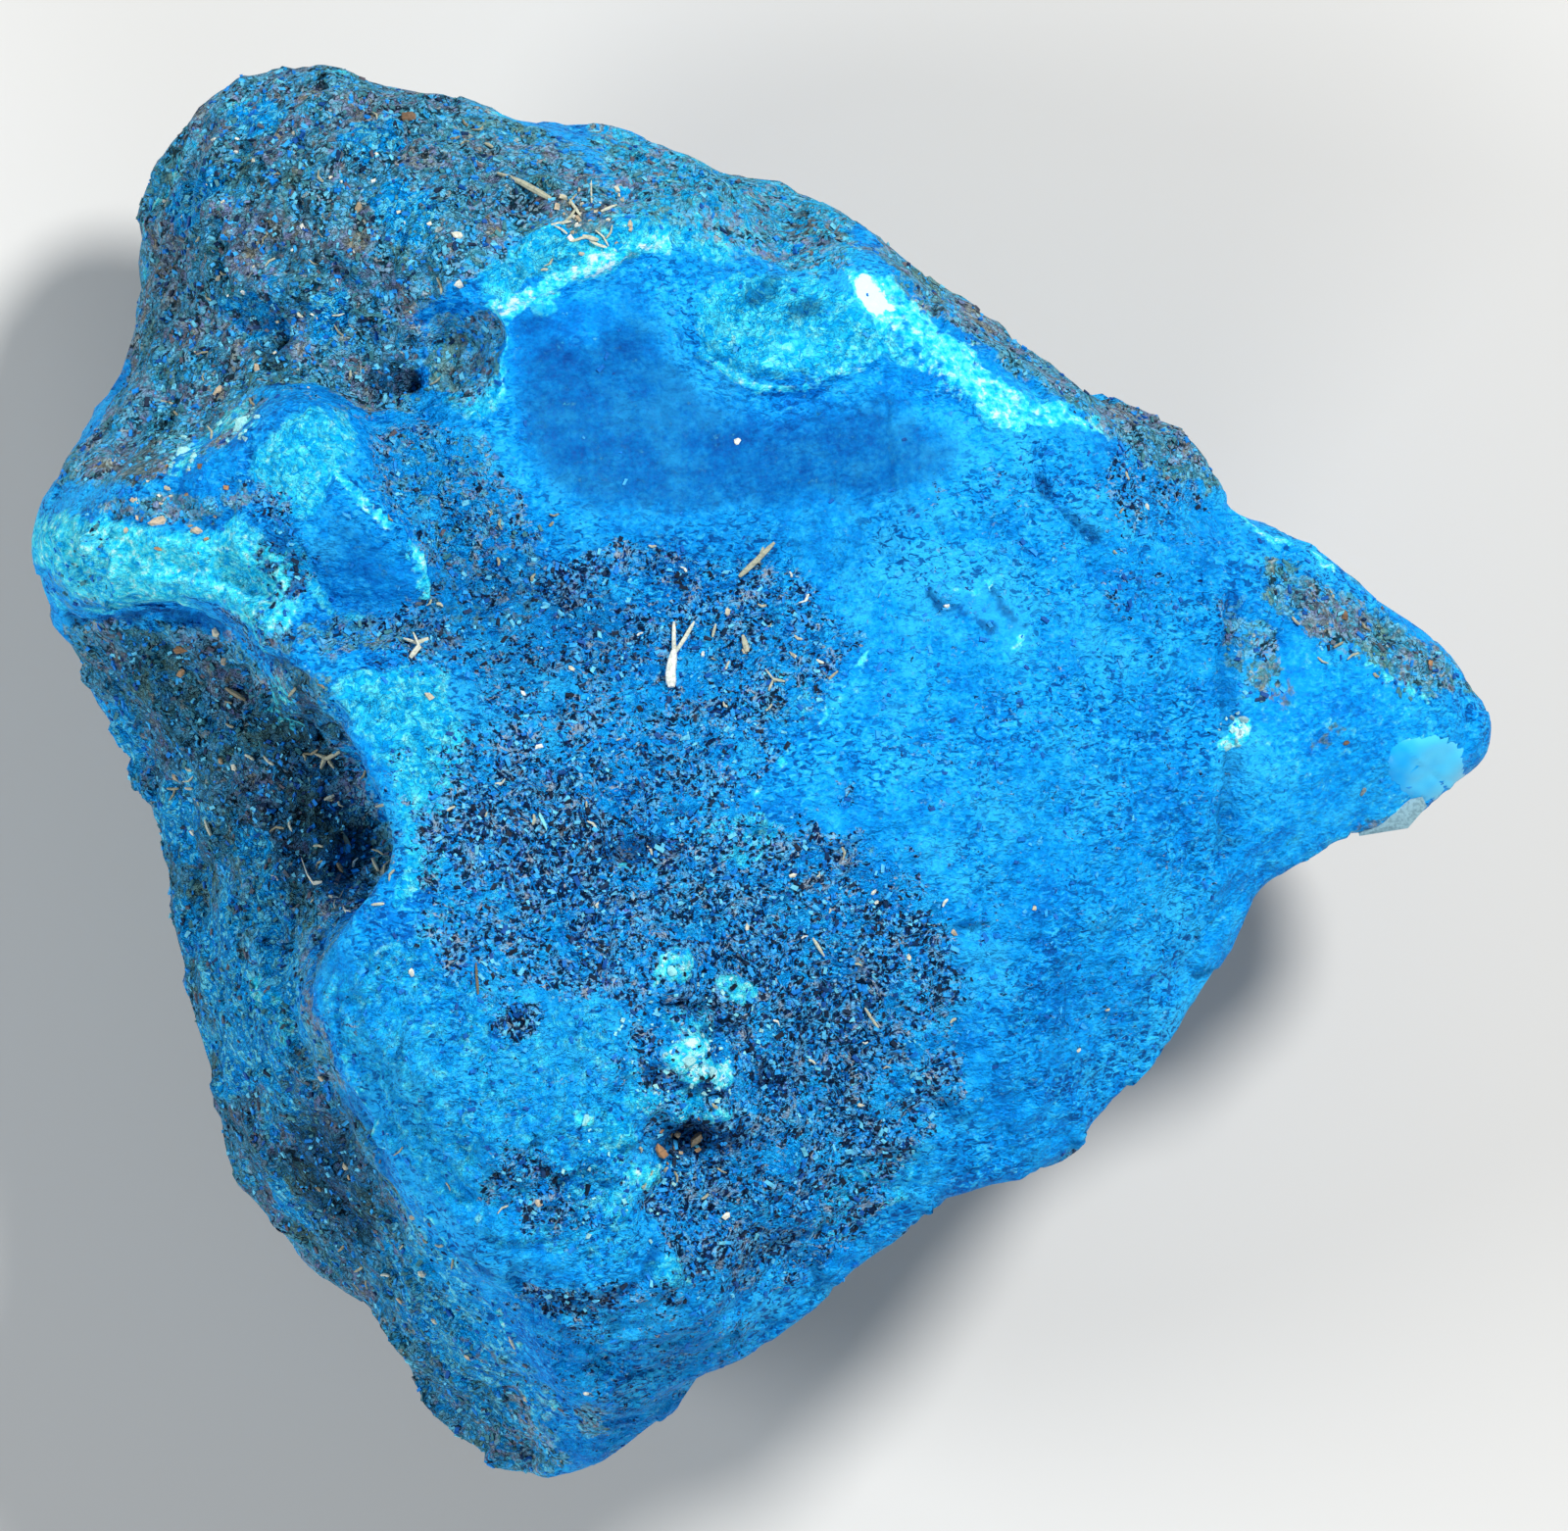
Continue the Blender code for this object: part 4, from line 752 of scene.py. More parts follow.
def shape_skin(skin):
    """Break the even skin up: flat breaks, edges and cracks, lumps and pits, then the grain."""
    for outline, share, tilt, edge in FACES:
        flatten(skin, outline, share, tilt, edge)
    height = np.zeros(len(skin.places))
    for path, width, rise, _, _ in EDGES:
        gap = gap_to_path(skin.places, skin.path(path))
        height += rise * smooth_share(width * 1.8, 0.0, gap)
    for sign, spots in ((1.0, LUMPS), (-1.0, PITS)):
        for place, reach, rise in spots:
            top, _ = skin.on_top(place)
            gap = np.linalg.norm(skin.places - np.array(top), axis=1)
            height += sign * rise * smooth_share(reach, reach * 0.2, gap)
    rough = skin.finish["rough"]
    calm = 1.0 - skin.finish["calm"] * 0.9
    level = smooth_share(0.1, 0.6, skin.facing[:, 2]) * skin.seen
    held = [0.75 + 0.25 * level, 0.4 + 0.6 * level, level]
    for index, (size, bare, added) in enumerate(FACET_GRAIN):
        height += facets(skin.places, size, index) * (bare * calm + added * rough) * held[index]
    for index, (size, bare, added) in enumerate(WAVE_GRAIN):
        height += waves(skin.places, size, 20 + index) * (bare * calm + added * rough) * held[index]
    beside = smooth_share(0.05, -0.45, skin.facing[:, 2])
    for size, rise in SIDE_BREAKS:
        height += np.minimum(facets(skin.places, size, 5), 0.0) * rise * beside
    base = smooth_share(0.5, 3.0, skin.places[:, 2])
    skin.push(height * base)


class Finish:
    """A material's nodes, added one call at a time."""

    def __init__(self, name):
        self.material = bpy.data.materials.new(name)
        self.material.use_nodes = True
        self.tree = self.material.node_tree
        self.shader = self.tree.nodes["Principled BSDF"]
        self.shader.inputs["Metallic"].default_value = 0.0
        spot = self.add("TexCoord")
        self.places = self.add(
            "Mapping", {"Vector": spot.outputs["Object"], "Scale": (1.0 / MM,) * 3})

    def add(self, kind, inputs=None, **settings):
        """A node of a kind, with its inputs and settings."""
        made = self.tree.nodes.new("ShaderNode" + kind)
        for name, value in settings.items():
            setattr(made, name, value)
        for name, value in (inputs or {}).items():
            self.put(made.inputs[name], value)
        return made

    def put(self, socket, value):
        """Link a node to a socket, or set the socket to a value; a colour may lack its alpha."""
        if isinstance(value, bpy.types.Node):
            value = value.outputs[0]
        if isinstance(value, bpy.types.NodeSocket):
            self.tree.links.new(value, socket)
        elif isinstance(value, tuple) and len(value) < len(socket.default_value):
            socket.default_value = value + (1.0,)
        else:
            socket.default_value = value

    def set(self, **inputs):
        for name, value in inputs.items():
            self.put(self.shader.inputs[name.replace("_", " ")], value)

    def zone(self, name):
        """How much of a finish the skin has at each point."""
        return self.add("Attribute", attribute_name=name).outputs["Fac"]

    def shifted(self, shift, stretch=(1.0, 1.0, 1.0), turn=0.0):
        """The places, stretched, turned about the upright and moved so that patterns differ."""
        return self.add(
            "Mapping", {"Vector": self.places, "Location": (shift, shift * 0.7, shift * 1.3),
                        "Scale": stretch, "Rotation": (0.0, 0.0, math.radians(turn))})

    def noise(self, size, detail, shift, stretch=(1.0, 1.0, 1.0), turn=0.0, warp=0.0):
        """Cloudy noise from 0 to 1, with clouds of the given size."""
        return self.add(
            "TexNoise", {"Vector": self.shifted(shift, stretch, turn), "Scale": 1.0 / size,
                         "Detail": detail, "Roughness": 0.55, "Distortion": warp}).outputs["Fac"]

    def winding_flecks(self, size, sway):
        """Packed flecks that wind about: three numbers of each one's own, and how far out
        from its middle a point lies."""
        drift = self.add("TexNoise", {"Vector": self.places, "Scale": 0.75 / size, "Detail": 1.0})
        moved = self.add(
            "VectorMath", {0: drift.outputs["Color"], 1: (sway,) * 3, 2: self.places},
            operation="MULTIPLY_ADD")
        cells = self.add("TexVoronoi", {"Vector": moved, "Scale": 1.0 / size}).outputs
        parts = self.add("SeparateColor", {"Color": cells["Color"]}).outputs
        return parts["Red"], parts["Green"], parts["Blue"], cells["Distance"]

    def facets(self, size, shift):
        """Small flat breaks: how high each point lies on its own tilted plane."""
        places = self.shifted(shift)
        cells = self.add("TexVoronoi", {"Vector": places, "Scale": 1.0 / size}).outputs
        away = self.add(
            "VectorMath", {0: places, 1: cells["Position"]}, operation="SUBTRACT").outputs[0]
        tilt = self.add(
            "VectorMath", {0: cells["Color"], 1: (0.5,) * 3}, operation="SUBTRACT").outputs[0]
        return self.add("VectorMath", {0: away, 1: tilt}, operation="DOT_PRODUCT").outputs["Value"]

    def ramp(self, value, stops):
        """The colour that a value picks from a run of colours."""
        made = self.add("ValToRGB", {"Fac": value})
        points = made.color_ramp.elements
        while len(points) < len(stops):
            points.new(0.5)
        for point, (place, colour) in zip(points, stops):
            point.position = place
            point.color = colour + (1.0,)
        return made.outputs["Color"]

    def fade(self, value, low, high):
        """0 at the low value, 1 at the high one, with soft ends."""
        return self.add(
            "MapRange", {"Value": value, "From Min": low, "From Max": high},
            interpolation_type="SMOOTHSTEP").outputs["Result"]

    def chain(self, operation, values):
        """The values put together one after another, each time by the same operation."""
        total = values[0]
        for value in values[1:]:
            total = self.add("Math", {0: total, 1: value}, operation=operation).outputs[0]
        return total

    def sum(self, *values):
        return self.chain("ADD", values)

    def times(self, *values):
        return self.chain("MULTIPLY", values)

    def less(self, value, other):
        return self.chain("SUBTRACT", (value, other))

    def ridges(self, value, width):
        """1 along the winding lines where a noise crosses its middle, falling off both ways."""
        away = self.add("Math", {0: self.less(value, 0.5)}, operation="ABSOLUTE").outputs[0]
        return self.fade(away, width, width * 0.3)

    def blend(self, share, low, high, kind="MIX"):
        """The first colour, and over it so much of the second."""
        made = self.add("Mix", data_type="RGBA", blend_type=kind)
        self.put(made.inputs["Factor"], share)
        self.put(made.inputs[6], low)
        self.put(made.inputs[7], high)
        return made.outputs[2]


def bare_turquoise(finish, blotch, grain, dashes, dash_share):
    """Clean broken turquoise: azure, with deeper and brighter blotches, short dark dashes painted
    as the tiny shadows of the rough grain, and bright ones painted as glints.
    """
    tone = finish.sum(
        finish.times(finish.noise(11.0, 3.0, 3.0), 0.45), finish.times(blotch, 0.4),
        finish.times(grain, 0.25))
    colour = finish.ramp(tone, [
        (0.36, (0.0, 0.13, 0.52)), (0.44, (0.0, 0.21, 0.72)), (0.5, (0.0, 0.28, 0.84)),
        (0.56, (0.002, 0.35, 0.93)), (0.64, (0.02, 0.47, 1.0))])
    # painted shadow: the dark dashes stand for the tiny shadows of the rough grain
    dark = finish.times(finish.fade(dashes, 0.49, 0.38), dash_share)
    colour = finish.blend(dark, colour, (0.0, 0.065, 0.3))
    # painted glints: the bright dashes
    light = finish.times(finish.fade(dashes, 0.56, 0.66), dash_share)
    return finish.blend(light, colour, (0.04, 0.56, 1.0))


def crust_colour(finish, azure, red, green, blue, gaps):
    """The matrix: flecks of teal, slate, azure and brown with dark gaps between them, partly
    painted crevice shade.
    """
    drift = finish.noise(4.5, 3.0, 11.0)
    # the crust's hue drifts towards teal where painted shade lies
    hue = finish.sum(
        finish.times(red, 0.38), finish.times(drift, 2.2), -0.79,
        finish.times(finish.zone("shade"), -0.22))
    colour = finish.ramp(hue, [
        (0.0, (0.14, 0.31, 0.28)), (0.16, (0.05, 0.3, 0.4)), (0.3, (0.03, 0.36, 0.62)),
        (0.38, (0.01, 0.42, 1.0)), (0.46, (0.07, 0.43, 0.68)), (0.55, (0.08, 0.4, 0.65)),
        (0.64, (0.17, 0.32, 0.48)), (0.74, (0.2, 0.25, 0.5)), (0.86, (0.22, 0.28, 0.34)),
        (0.98, (0.27, 0.27, 0.21))])
    light = finish.times(green, green)
    colour = finish.blend(finish.times(light, 0.5), colour, (0.28, 0.62, 0.78))
    cream = finish.fade(blue, 0.955, 0.975)
    colour = finish.blend(finish.times(cream, 0.7), colour, (0.42, 0.46, 0.42))
    blue_flecks = finish.ramp(green, [
        (0.1, (0.0, 0.27, 0.82)), (0.4, (0.0, 0.4, 1.0)), (0.7, (0.03, 0.52, 1.0)),
        (0.95, (0.16, 0.75, 1.0))])
    colour = finish.blend(azure, colour, blue_flecks)
    # pockets where the painted crevice shade in the gaps is deeper
    pockets = finish.fade(finish.noise(2.6, 3.0, 15.0), 0.46, 0.6)
    depth = finish.sum(0.4, finish.times(pockets, 0.56), finish.times(azure, -0.42))
    return finish.blend(finish.times(gaps, depth), colour, (0.002, 0.025, 0.045))


def stain_colour(finish, red, green, blue, gaps, lines):
    """Dirt worked into the broken surface: navy and violet gaps between blue flecks."""
    drift = finish.noise(1.8, 2.0, 81.0)
    hue = finish.sum(finish.times(red, 0.75), finish.times(drift, 0.9), -0.3)
    colour = finish.ramp(hue, [
        (0.12, (0.0, 0.02, 0.1)), (0.28, (0.0, 0.06, 0.34)), (0.42, (0.0, 0.18, 0.72)),
        (0.54, (0.03, 0.38, 0.95)), (0.64, (0.1, 0.12, 0.48)), (0.74, (0.12, 0.46, 0.8)),
        (0.84, (0.02, 0.06, 0.12)), (0.94, (0.35, 0.5, 0.6))])
    cream = finish.fade(blue, 0.955, 0.975)
    colour = finish.blend(finish.times(cream, 0.75), colour, (0.42, 0.48, 0.5))
    ground = finish.ramp(finish.noise(1.2, 3.0, 95.0), [
        (0.4, (0.0, 0.004, 0.02)), (0.5, (0.0, 0.015, 0.08)), (0.6, (0.012, 0.018, 0.1))])
    colour = finish.blend(finish.times(gaps, 0.97), colour, ground)
    specks = finish.noise(0.5, 2.0, 91.0)
    dark = finish.times(finish.fade(specks, 0.51, 0.41), 0.9)
    colour = finish.blend(dark, colour, (0.0, 0.004, 0.02))
    bright = finish.times(finish.fade(specks, 0.53, 0.61), 0.75)
    colour = finish.blend(bright, colour, (0.14, 0.58, 1.0))
    light = finish.ramp(finish.noise(1.7, 2.0, 88.0), [
        (0.4, (0.0, 0.26, 0.85)), (0.5, (0.04, 0.46, 0.97)), (0.58, (0.16, 0.4, 0.7)),
        (0.66, (0.36, 0.45, 0.55))])
    return finish.blend(finish.times(lines, 0.85), colour, light)


def cyan_colour(finish, green, gaps, seams, uneven):
    """The bright stretches: azure to pale cyan, with dark gaps and seams where they are uneven; the
    gaps are partly painted crevice shade.
    """
    drift = finish.noise(1.1, 3.0, 51.0)
    hue = finish.sum(finish.times(green, 0.45), finish.times(drift, 0.9), -0.17)
    colour = finish.ramp(hue, [
        (0.16, (0.0, 0.28, 0.8)), (0.34, (0.0, 0.46, 1.0)), (0.54, (0.03, 0.65, 1.0)),
        (0.74, (0.12, 0.83, 1.0)), (0.92, (0.36, 0.94, 0.95))])
    colour = finish.blend(finish.times(gaps, 0.3, uneven), colour, (0.0, 0.2, 0.5))
    return finish.blend(finish.times(seams, 0.45, uneven), colour, (0.0, 0.14, 0.34))


def earth_colour(finish):
    """Brown earth in dark, grey and sandy grains."""
    return finish.ramp(finish.noise(0.6, 3.0, 61.0), [
        (0.36, (0.015, 0.025, 0.03)), (0.46, (0.06, 0.08, 0.085)), (0.56, (0.16, 0.16, 0.12)),
        (0.68, (0.36, 0.35, 0.26))])


def chalk_and_highlight_colour(finish, white_and_glint, seams, uneven):
    """Chalky edges and spots, and painted highlights on ridges and the scarp: bright cyan with dull
    seams, white where they are strongest, as in the painted glint.
    """
    colour = finish.ramp(finish.noise(0.7, 3.0, 101.0), [
        (0.36, (0.0, 0.52, 1.0)), (0.46, (0.04, 0.75, 1.0)), (0.58, (0.15, 0.92, 1.0)),
        (0.68, (0.55, 1.0, 1.0))])
    colour = finish.blend(finish.times(seams, 0.4, uneven), colour, (0.0, 0.26, 0.45))
    return finish.blend(finish.times(white_and_glint, 0.9), colour, (0.75, 0.97, 0.98))


def dirt_cover(finish, wander):
    """Where the dirt lies: in specks, dense in the middle of each stain and thin around it."""
    specks = finish.noise(0.7, 3.0, 71.0, (1.0, 1.4, 1.0), 20.0, 0.8)
    thickness = finish.sum(finish.times(finish.noise(4.0, 4.0, 75.0), 5.0), -1.5)
    dirt_here = finish.sum(finish.times(finish.zone("dirt"), thickness), finish.times(wander, 0.2))
    level = finish.sum(finish.times(finish.less(specks, 0.5), 2.6), dirt_here)
    return finish.times(finish.fade(level, 0.42, 0.6), finish.fade(dirt_here, 0.0, 0.2))


def broken_surface(finish, grain, dashes, gaps, lines, calm):
    """The stone's sheen and its finest relief, broken where it is rough and soft where calm."""
    gloss = finish.zone("gloss")
    dullness = finish.sum(0.55, finish.times(finish.fade(grain, 0.35, 0.65), 0.2))
    roughness = finish.less(dullness, finish.times(gloss, 0.42))
    stained = finish.sum(finish.zone("dirt"), finish.times(finish.zone("cyan"), 0.6))
    coarse = finish.chain("MAXIMUM", (finish.zone("crust"), stained))
    rough = finish.zone("rough")
    broken = finish.sum(
        finish.times(finish.facets(2.6, 3.0), finish.sum(0.35, finish.times(rough, 1.1))),
        finish.times(finish.facets(1.1, 8.0), finish.sum(0.3, finish.times(rough, 0.7))))
    texture = finish.sum(
        finish.times(broken, finish.less(1.1, calm)),
        finish.times(finish.noise(1.1, 4.0, 111.0), 1.2), finish.times(grain, 0.3),
        finish.times(dashes, 0.6, finish.less(1.1, calm)), finish.times(gaps, coarse, -0.5),
        finish.times(lines, coarse, 0.5))
    strength = finish.sum(
        0.75, finish.times(rough, 0.3), finish.times(calm, -0.4), finish.times(gloss, -0.1),
        finish.times(finish.zone("cyan"), -0.15), finish.times(finish.zone("pale"), -0.15))
    bump = finish.add("Bump", {"Height": texture, "Strength": strength, "Distance": 0.8 * MM})
    return roughness, bump


def turquoise_finish():
    """The whole stone: bare azure, and over it what each stretch has of the other finishes."""
    finish = Finish("turquoise_stone")
    blotch = finish.noise(2.2, 4.0, 7.0)
    grain = finish.noise(0.4, 2.0, 21.0)
    dashes = finish.noise(0.76, 2.0, 31.0, (1.0, 1.75, 1.0), -6.0, 0.9)
    wander = finish.times(finish.less(finish.noise(1.0, 4.0, 41.0), 0.5), 2.2)
    red, green, blue, distance = finish.winding_flecks(0.62, 2.2)
    depth = finish.sum(distance, finish.times(grain, 0.4))
    # dark gaps between the flecks: partly their own dark joints, partly painted crevice shade
    gaps = finish.fade(depth, 0.72, 0.9)
    wide_gaps = finish.fade(depth, 0.56, 0.76)
    lines = finish.ridges(finish.noise(1.6, 2.0, 85.0, warp=1.2), 0.055)
    seams = finish.ridges(finish.noise(1.5, 3.0, 55.0, warp=1.0), 0.04)
    calm = finish.zone("calm")
    uneven = finish.less(1.0, calm)

    def cover(name, sway, low, high):
        """Where a finish shows, from nowhere to fully, with its borders broken up."""
        return finish.fade(finish.sum(finish.zone(name), finish.times(wander, sway)), low, high)

    dashed = finish.fade(finish.noise(8.0, 3.0, 35.0), 0.36, 0.62)
    dash_share = finish.times(
        finish.sum(0.3, finish.times(dashed, 0.6)), finish.less(1.0, finish.times(calm, 0.8)))
    colour = bare_turquoise(finish, blotch, grain, dashes, dash_share)
    colour = finish.blend(
        finish.times(cover("cyan", 0.7, 0.3, 0.75), 0.92), colour,
        cyan_colour(finish, green, gaps, seams, uneven))
    colour = finish.blend(
        cover("crust", 1.1, 0.3, 0.6), colour,
        crust_colour(finish, cover("azure", 1.1, 0.2, 0.6), red, green, blue, gaps))
    colour = finish.blend(
        finish.times(cover("brown", 1.0, 0.5, 0.85), 0.7), colour, earth_colour(finish))
    colour = finish.blend(
        finish.times(dirt_cover(finish, wander), 0.97), colour,
        stain_colour(finish, red, green, blue, wide_gaps, lines))
    # painted shade: the colour is multiplied darker where the stone lies in shadow or turns from
    # the light
    colour = finish.blend(
        finish.times(cover("shade", 0.3, 0.05, 1.0), 0.85), colour, (0.12, 0.22, 0.34), "MULTIPLY")
    # pale: chalky spots and edges, and painted highlights on ridges, the scarp, the ledge and the
    # glint
    colour = finish.blend(
        finish.times(cover("pale", 1.0, 0.45, 0.85), 0.92), colour,
        chalk_and_highlight_colour(finish, cover("pale", 1.2, 1.15, 1.5), seams, uneven))
    roughness, bump = broken_surface(finish, grain, dashes, gaps, lines, calm)
    finish.set(Base_Color=colour, Roughness=roughness, Normal=bump)
    finish.shader.inputs["Specular IOR Level"].default_value = 0.07
    return finish.material


def glaze_finish():
    """The glassy spot: azure that pales to the right in a painted highlight, smooth, with a soft
    shine.
    """
    finish = Finish("glassy_glaze")
    across = finish.add("SeparateXYZ", {"Vector": finish.places}).outputs["X"]
    reach = finish.sum(across, finish.times(finish.noise(3.4, 2.0, 7.0), 8.0), -4.0)
    # painted highlight: the colour pales towards the right
    colour = finish.blend(finish.fade(reach, 55.0, 61.0), (0.0, 0.38, 0.92), (0.07, 0.6, 0.97))
    finish.set(Base_Color=colour)
    finish.shader.inputs["Roughness"].default_value = 0.24
    finish.shader.inputs["Specular IOR Level"].default_value = 0.3
    return finish.material


def loose_finish(name, stops):
    """Loose bits, each of the colour that its own tone picks."""
    finish = Finish(name)
    speckle = finish.noise(0.3, 3.0, 3.0)
    colour = finish.ramp(finish.zone("tone"), stops)
    worn = finish.times(finish.fade(speckle, 0.55, 0.38), 0.4)
    colour = finish.blend(worn, colour, (0.25, 0.3, 0.35), "MULTIPLY")
    bump = finish.add("Bump", {"Height": speckle, "Strength": 0.5, "Distance": 0.15 * MM})
    finish.set(Base_Color=colour, Normal=bump)
    finish.shader.inputs["Roughness"].default_value = 0.65
    finish.shader.inputs["Specular IOR Level"].default_value = 0.25
    return finish.material


def make_stone():
    skin = Skin(fine_skin())
    lay_finishes(skin)
    finish_the_back(skin)
    shape_skin(skin)
    skin.store()
    skin.mesh.shade_smooth()
    stone = new_piece("broken_stone", skin.mesh, turquoise_finish())
    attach(stone, "root")
    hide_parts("stone")
    skin.settle()
    return skin


def take_form(form, name, material):
    """Turn a finished bmesh into a piece that rides with the stone."""
    bmesh.ops.recalc_face_normals(form, faces=form.faces)
    piece = new_piece(name, as_mesh(form, name), material)
    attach(piece, "root")
    return piece


def tone_layer(form):
    return form.verts.layers.float.get("tone") or form.verts.layers.float.new("tone")


def strand(form, path, width, tone):
    """A closed stalk along a path, thinner at both ends; lengths in millimetres."""
    layer = tone_layer(form)
    path = [Vector(place) * MM for place in path]
    widths = [width * MM * share for share in np.interp(
        np.linspace(0.0, 1.0, len(path)), (0.0, 0.2, 0.8, 1.0), (0.6, 1.0, 0.9, 0.45))]
    turn = (path[1] - path[0]).to_track_quat("Z", "Y").to_matrix().to_4x4()
    ring = bmesh.ops.create_circle(
        form, cap_ends=True, segments=7, radius=widths[0],
        matrix=Matrix.Translation(path[0]) @ turn)["verts"]
    made = set(ring)
    face = ring[0].link_faces[0]
    for start, end, before, after in zip(path, path[1:], widths, widths[1:]):
        grown = bmesh.ops.extrude_face_region(form, geom=[face])["geom"]
        face = next(part for part in grown if isinstance(part, bmesh.types.BMFace))
        for point in face.verts:
            point.co = end + (point.co - start) * (after / before)
            made.add(point)
    for point in made:
        point[layer] = tone


def stalk_on(skin, form, places, width, tone, rise):
    """A stalk lying on the skin through some places; its free end lifts off a little."""
    ends = [skin.on_top(place)[0] for place in places]
    if None in ends:
        return
    if ends[0].z < ends[-1].z:
        ends.reverse()
    for start, end in zip(ends, ends[1:]):
        end.z = max(end.z, start.z - STEEPEST_DROP * (end - start).xy.length)
    path = []
    for start, end in zip(ends, ends[1:]):
        for share in (0.0, 0.33, 0.66):
            path.append(start.lerp(end, share))
    path.append(ends[-1])
    steps = len(path)
    path = [place + UP * (width * 0.7 + rise * index / steps + 0.12 * width * math.sin(index * 2.3))
            for index, place in enumerate(path)]
    strand(form, path, width, tone)


def chip(form, place, turn, size, tone, rng, fine=False):
    """A small broken bit: a jittered block or ball stretched to its size, in millimetres."""
    layer = tone_layer(form)
    shape = Matrix.Diagonal(Vector(size) * MM).to_4x4()
    seat = Matrix.Translation(Vector(place) * MM) @ turn @ shape
    if fine:
        made = bmesh.ops.create_icosphere(form, subdivisions=1, radius=1.0, matrix=seat)["verts"]
    else:
        made = bmesh.ops.create_cube(form, size=1.5, matrix=seat)["verts"]
    for point in made:
        away = point.co - Vector(place) * MM
        point.co += away * rng.uniform(-0.45, 0.25)
        point[layer] = tone


def lie_flat(facing, angle):
    """The turn that lays a bit down on the skin, pointing along an angle."""
    turn = Vector(facing).to_track_quat("Z", "Y").to_matrix().to_4x4()
    return turn @ Matrix.Rotation(angle, 4, "Z")


def make_straw(skin):
    """The dry stalks and chaff that are caught on the stone, each at its own place."""
    form = bmesh.new()
    for places, width, tone, rise in STRAWS:
        stalk_on(skin, form, places, width, tone, rise)
    rng = random.Random(12)
    for middle, reach, count, lengths, tones in CHAFF:
        for _ in range(count):
            angle = rng.uniform(0.0, math.tau)
            away = Vector((math.cos(angle), math.sin(angle))) * reach * math.sqrt(rng.random())
            start = Vector(middle) + away
            way = rng.uniform(0.0, math.tau)
            run = Vector((math.cos(way), math.sin(way))) * rng.uniform(*lengths)
            bend = Vector((-run.y, run.x)) * rng.uniform(-0.25, 0.25)
            places = [start, start + run * 0.5 + bend, start + run]
            stalk_on(skin, form, places, rng.uniform(0.08, 0.16), rng.uniform(*tones), 0.3)
    take_form(form, "straw", loose_finish("dry_straw", STRAW_TONES))


def make_chips(skin):
    """The larger loose chips, each at its own place."""
    form = bmesh.new()
    rng = random.Random(5)
    for place, size, angle, tone in CHIPS:
        found, facing = skin.on_top(place)
        if found is None:
            continue
        turn = lie_flat(facing, math.radians(angle))
        chip(form, found + facing * size[2] * 0.3, turn, size, tone, rng, fine=True)
    place, size, angle, tone = PLATE
    beside, _ = skin.on_top((place[0], place[1] + PLATE_INSET))
    seat = Vector((place[0], place[1], beside.z - PLATE_DROP))
    chip(form, seat, lie_flat(UP, math.radians(angle)), size, tone, rng, fine=True)
    for middle, reach, count, sizes, tones in CRUMBS:
        for _ in range(count):
            way, away = rng.uniform(0.0, math.tau), reach * math.sqrt(rng.random())
            place = middle[0] + math.cos(way) * away, middle[1] + math.sin(way) * away
            found, facing = skin.on_top(place)
            length = rng.uniform(*sizes)
            size = length, length * rng.uniform(0.4, 0.9), length * rng.uniform(0.3, 0.7)
            turn = lie_flat(facing, rng.uniform(0.0, math.tau))
            chip(form, found + facing * size[2] * 0.3, turn, size, rng.uniform(*tones), rng)
    take_form(form, "loose_chips", loose_finish("chip_matter", CHIP_TONES))


def make_glaze(skin):
    """A thin glassy skin over the spot that shines, its border sunk into the stone."""
    form = bmesh.new()
    bmesh.ops.create_grid(form, x_segments=GLAZE_CELLS, y_segments=GLAZE_CELLS, size=1.0)
    corners = [Vector(corner) for corner in GLAZE]
    middle = sum(corners, Vector((0.0, 0.0))) / len(corners)
    ways = [math.atan2(corner.y - middle.y, corner.x - middle.x) for corner in corners]
    spans = [(corner - middle).length for corner in corners]
    for point in form.verts:
        ring = max(abs(point.co.x), abs(point.co.y))
        way = math.atan2(point.co.y, point.co.x)
        away = ring * np.interp(way, *zip(*sorted(zip(ways, spans))), period=math.tau)
        found = None
        while found is None or found.z < GLAZE_LOW:
            found, _ = skin.on_top(middle + Vector((math.cos(way), math.sin(way))) * away)
            away *= 0.98
        lift = GLAZE_LIFT - GLAZE_SINK * smooth_share(0.8, 1.0, ring)
        point.co = (found + UP * float(lift)) * MM
    for _ in range(4):
        inner = [point for point in form.verts if not point.is_boundary]
        bmesh.ops.smooth_vert(
            form, verts=inner, factor=0.5, use_axis_x=False, use_axis_y=False, use_axis_z=True)
    grown = bmesh.ops.extrude_face_region(form, geom=form.faces[:])["geom"]
    for point in [part for part in grown if isinstance(part, bmesh.types.BMVert)]:
        point.co -= UP * GLAZE_DEPTH * MM
    piece = take_form(form, "glassy_spot", glaze_finish())
    piece.data.shade_smooth()


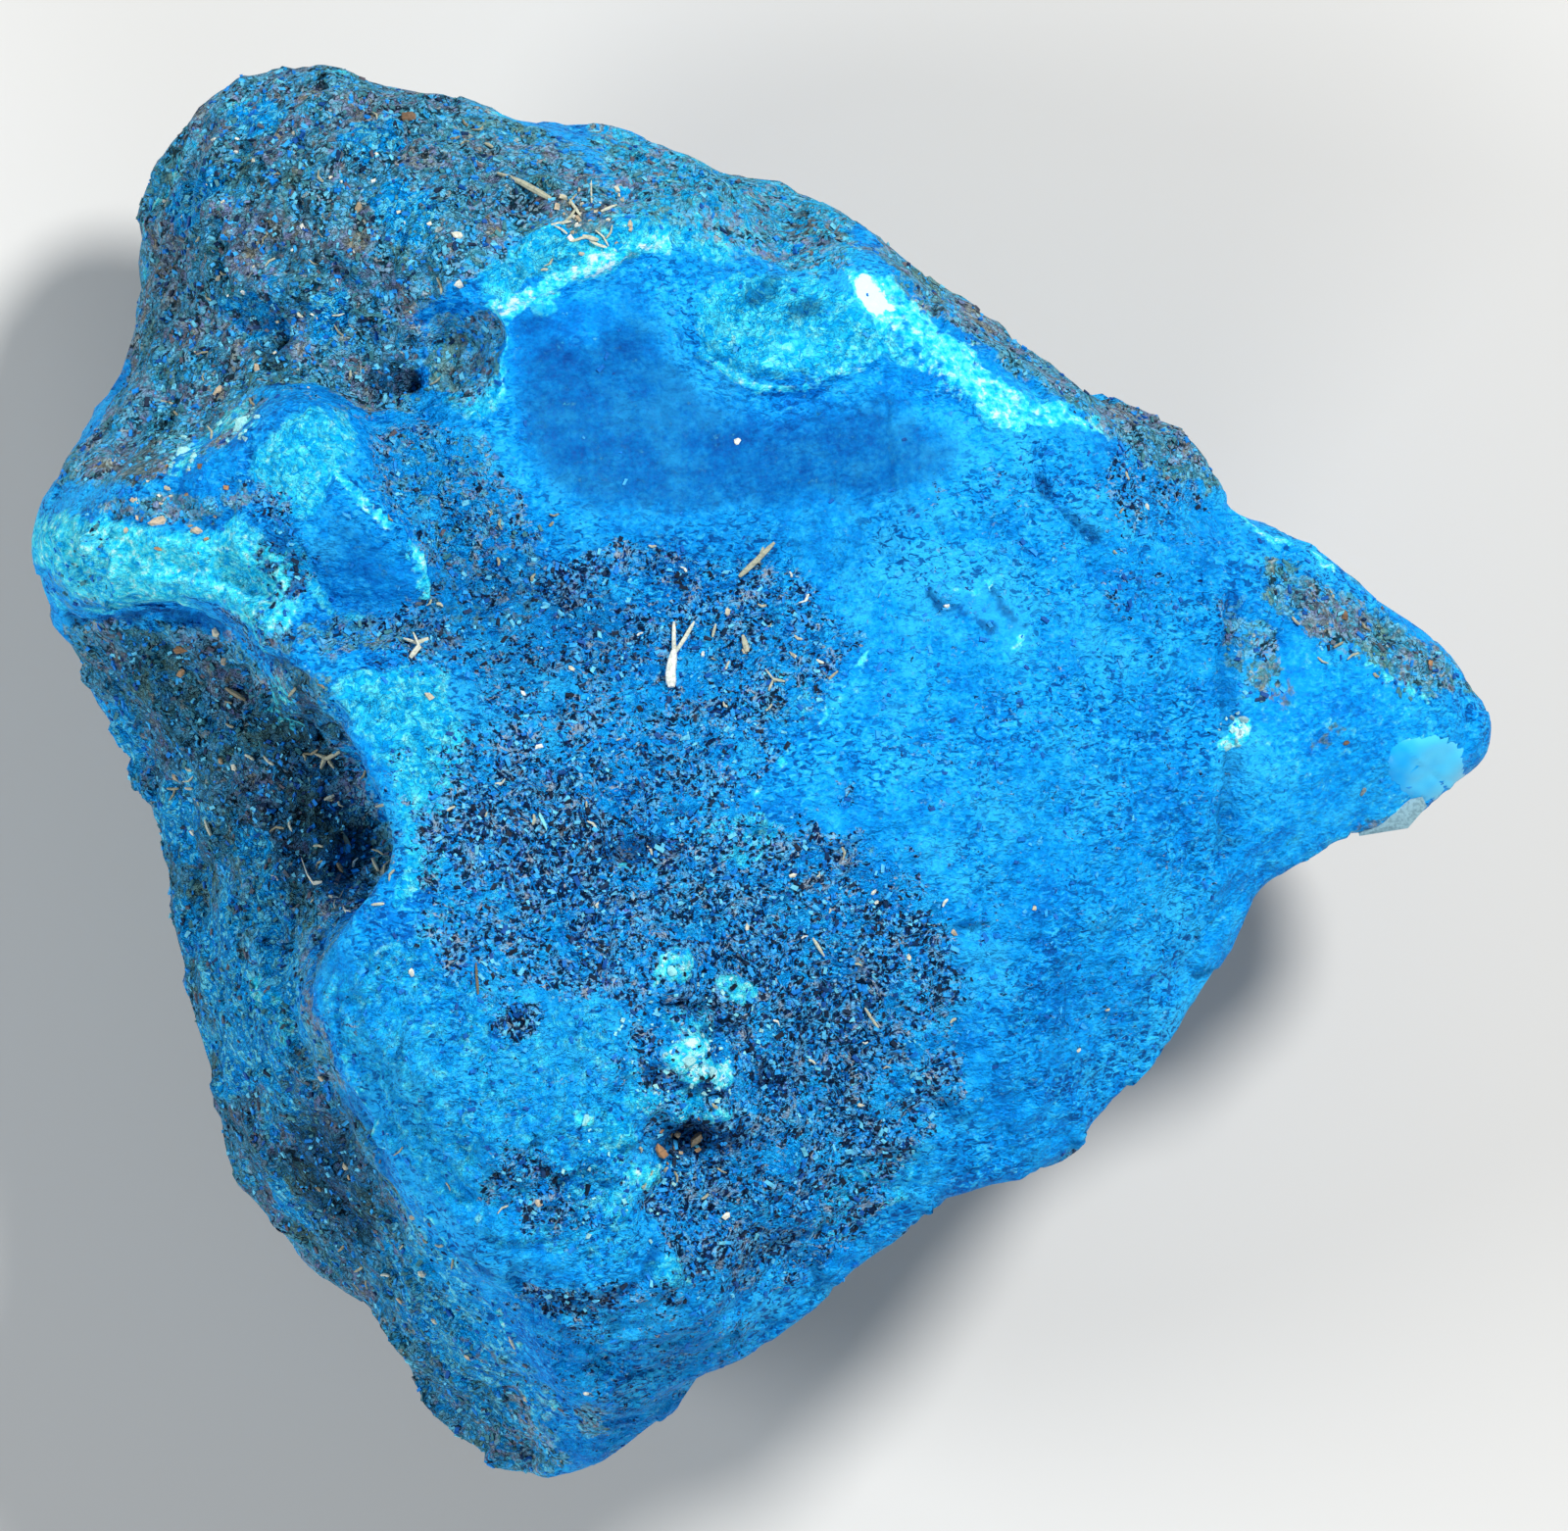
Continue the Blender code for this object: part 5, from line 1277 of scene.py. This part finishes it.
def make_grit(skin):
    """Fine broken grit over the crust and the stains, thick where they are strong."""
    rng = random.Random(8)
    cells = skin.mesh.polygons
    crust, dirt = skin.finish["crust"], skin.finish["dirt"]
    whole = bmesh.new()
    tone_layer(whole)
    laid = 0
    while laid < GRIT_COUNT:
        batch = bmesh.new()
        tone_layer(batch)
        for _ in range(GRIT_BATCH):
            place = [rng.uniform(-reach, reach) for reach in GRIT_REACH]
            found, facing, cell, _ = skin.look_down(place)
            if found is None or facing.z < 0.12:
                continue
            corner = cells[cell].vertices[0]
            in_crust = crust[corner]
            in_dirt = dirt[corner]
            if rng.random() > max(in_crust, in_dirt, 0.01):
                continue
            if in_dirt > max(in_crust, 0.3):
                tone = rng.choice(DIRT_GRIT)
            elif in_crust > 0.2:
                tone = rng.choice(CRUST_GRIT)
            else:
                tone = rng.choice(STRAY_GRIT)
            length = 0.1 + 0.16 * rng.random() ** 2
            size = (length * rng.uniform(1.0, 2.4), length, length * rng.uniform(0.5, 1.0))
            turn = lie_flat(facing, rng.uniform(0.0, math.tau))
            chip(batch, found + facing * 0.05, turn, size, tone + rng.uniform(-0.02, 0.02), rng)
            laid += 1
        mesh = as_mesh(batch, "batch")
        whole.from_mesh(mesh)
        bpy.data.meshes.remove(mesh)
    take_form(whole, "grit", loose_finish("grit_matter", GRIT_TONES))


def make_floor():
    """A plain pale floor under the stone."""
    form = bmesh.new()
    bmesh.ops.create_grid(form, x_segments=1, y_segments=1, size=FLOOR_REACH)
    finish = Finish("pale_floor")
    finish.set(Base_Color=(0.62, 0.62, 0.61))
    finish.shader.inputs["Roughness"].default_value = 0.8
    new_piece("floor", as_mesh(form, "floor"), finish.material)


def make_lamp(name, way, size, power, colour):
    """A round lamp that shines on the stone from a way."""
    light = bpy.data.objects.new(name, bpy.data.lights.new(name, "AREA"))
    light.data.shape = "DISK"
    light.data.size = size
    light.data.energy = power
    light.data.color = colour
    light.location = Vector(way).normalized() * LAMP_DISTANCE
    light.rotation_euler = Vector(way).to_track_quat("Z", "Y").to_euler()
    bpy.context.scene.collection.objects.link(light)


def make_studio():
    """The lamps and the pale surroundings."""
    for name, lamp in LAMPS.items():
        make_lamp(name, *lamp)
    world = bpy.data.worlds.new("studio")
    world.use_nodes = True
    backdrop = world.node_tree.nodes["Background"]
    backdrop.inputs["Color"].default_value = (0.93, 0.96, 1.0, 1.0)
    backdrop.inputs["Strength"].default_value = 0.19
    bpy.context.scene.world = world
    bpy.context.scene.view_settings.view_transform = "Standard"


def make_camera():
    """Looks straight down on the broken face, from far enough away to keep its proportions."""
    middle_x, middle_y, height = 0.00184, 0.00066, 2.5
    frame_width, frame_level, sensor = 0.14, 0.045, 36.0
    camera = bpy.data.objects.new("camera", bpy.data.cameras.new("camera"))
    camera.data.sensor_width = sensor
    camera.data.lens = sensor * (height - frame_level) / frame_width
    camera.location = (middle_x, middle_y, height)
    bpy.context.scene.collection.objects.link(camera)
    bpy.context.scene.camera = camera


skin = make_stone()
make_straw(skin)
make_chips(skin)
make_grit(skin)
make_glaze(skin)
make_floor()
make_studio()
make_camera()
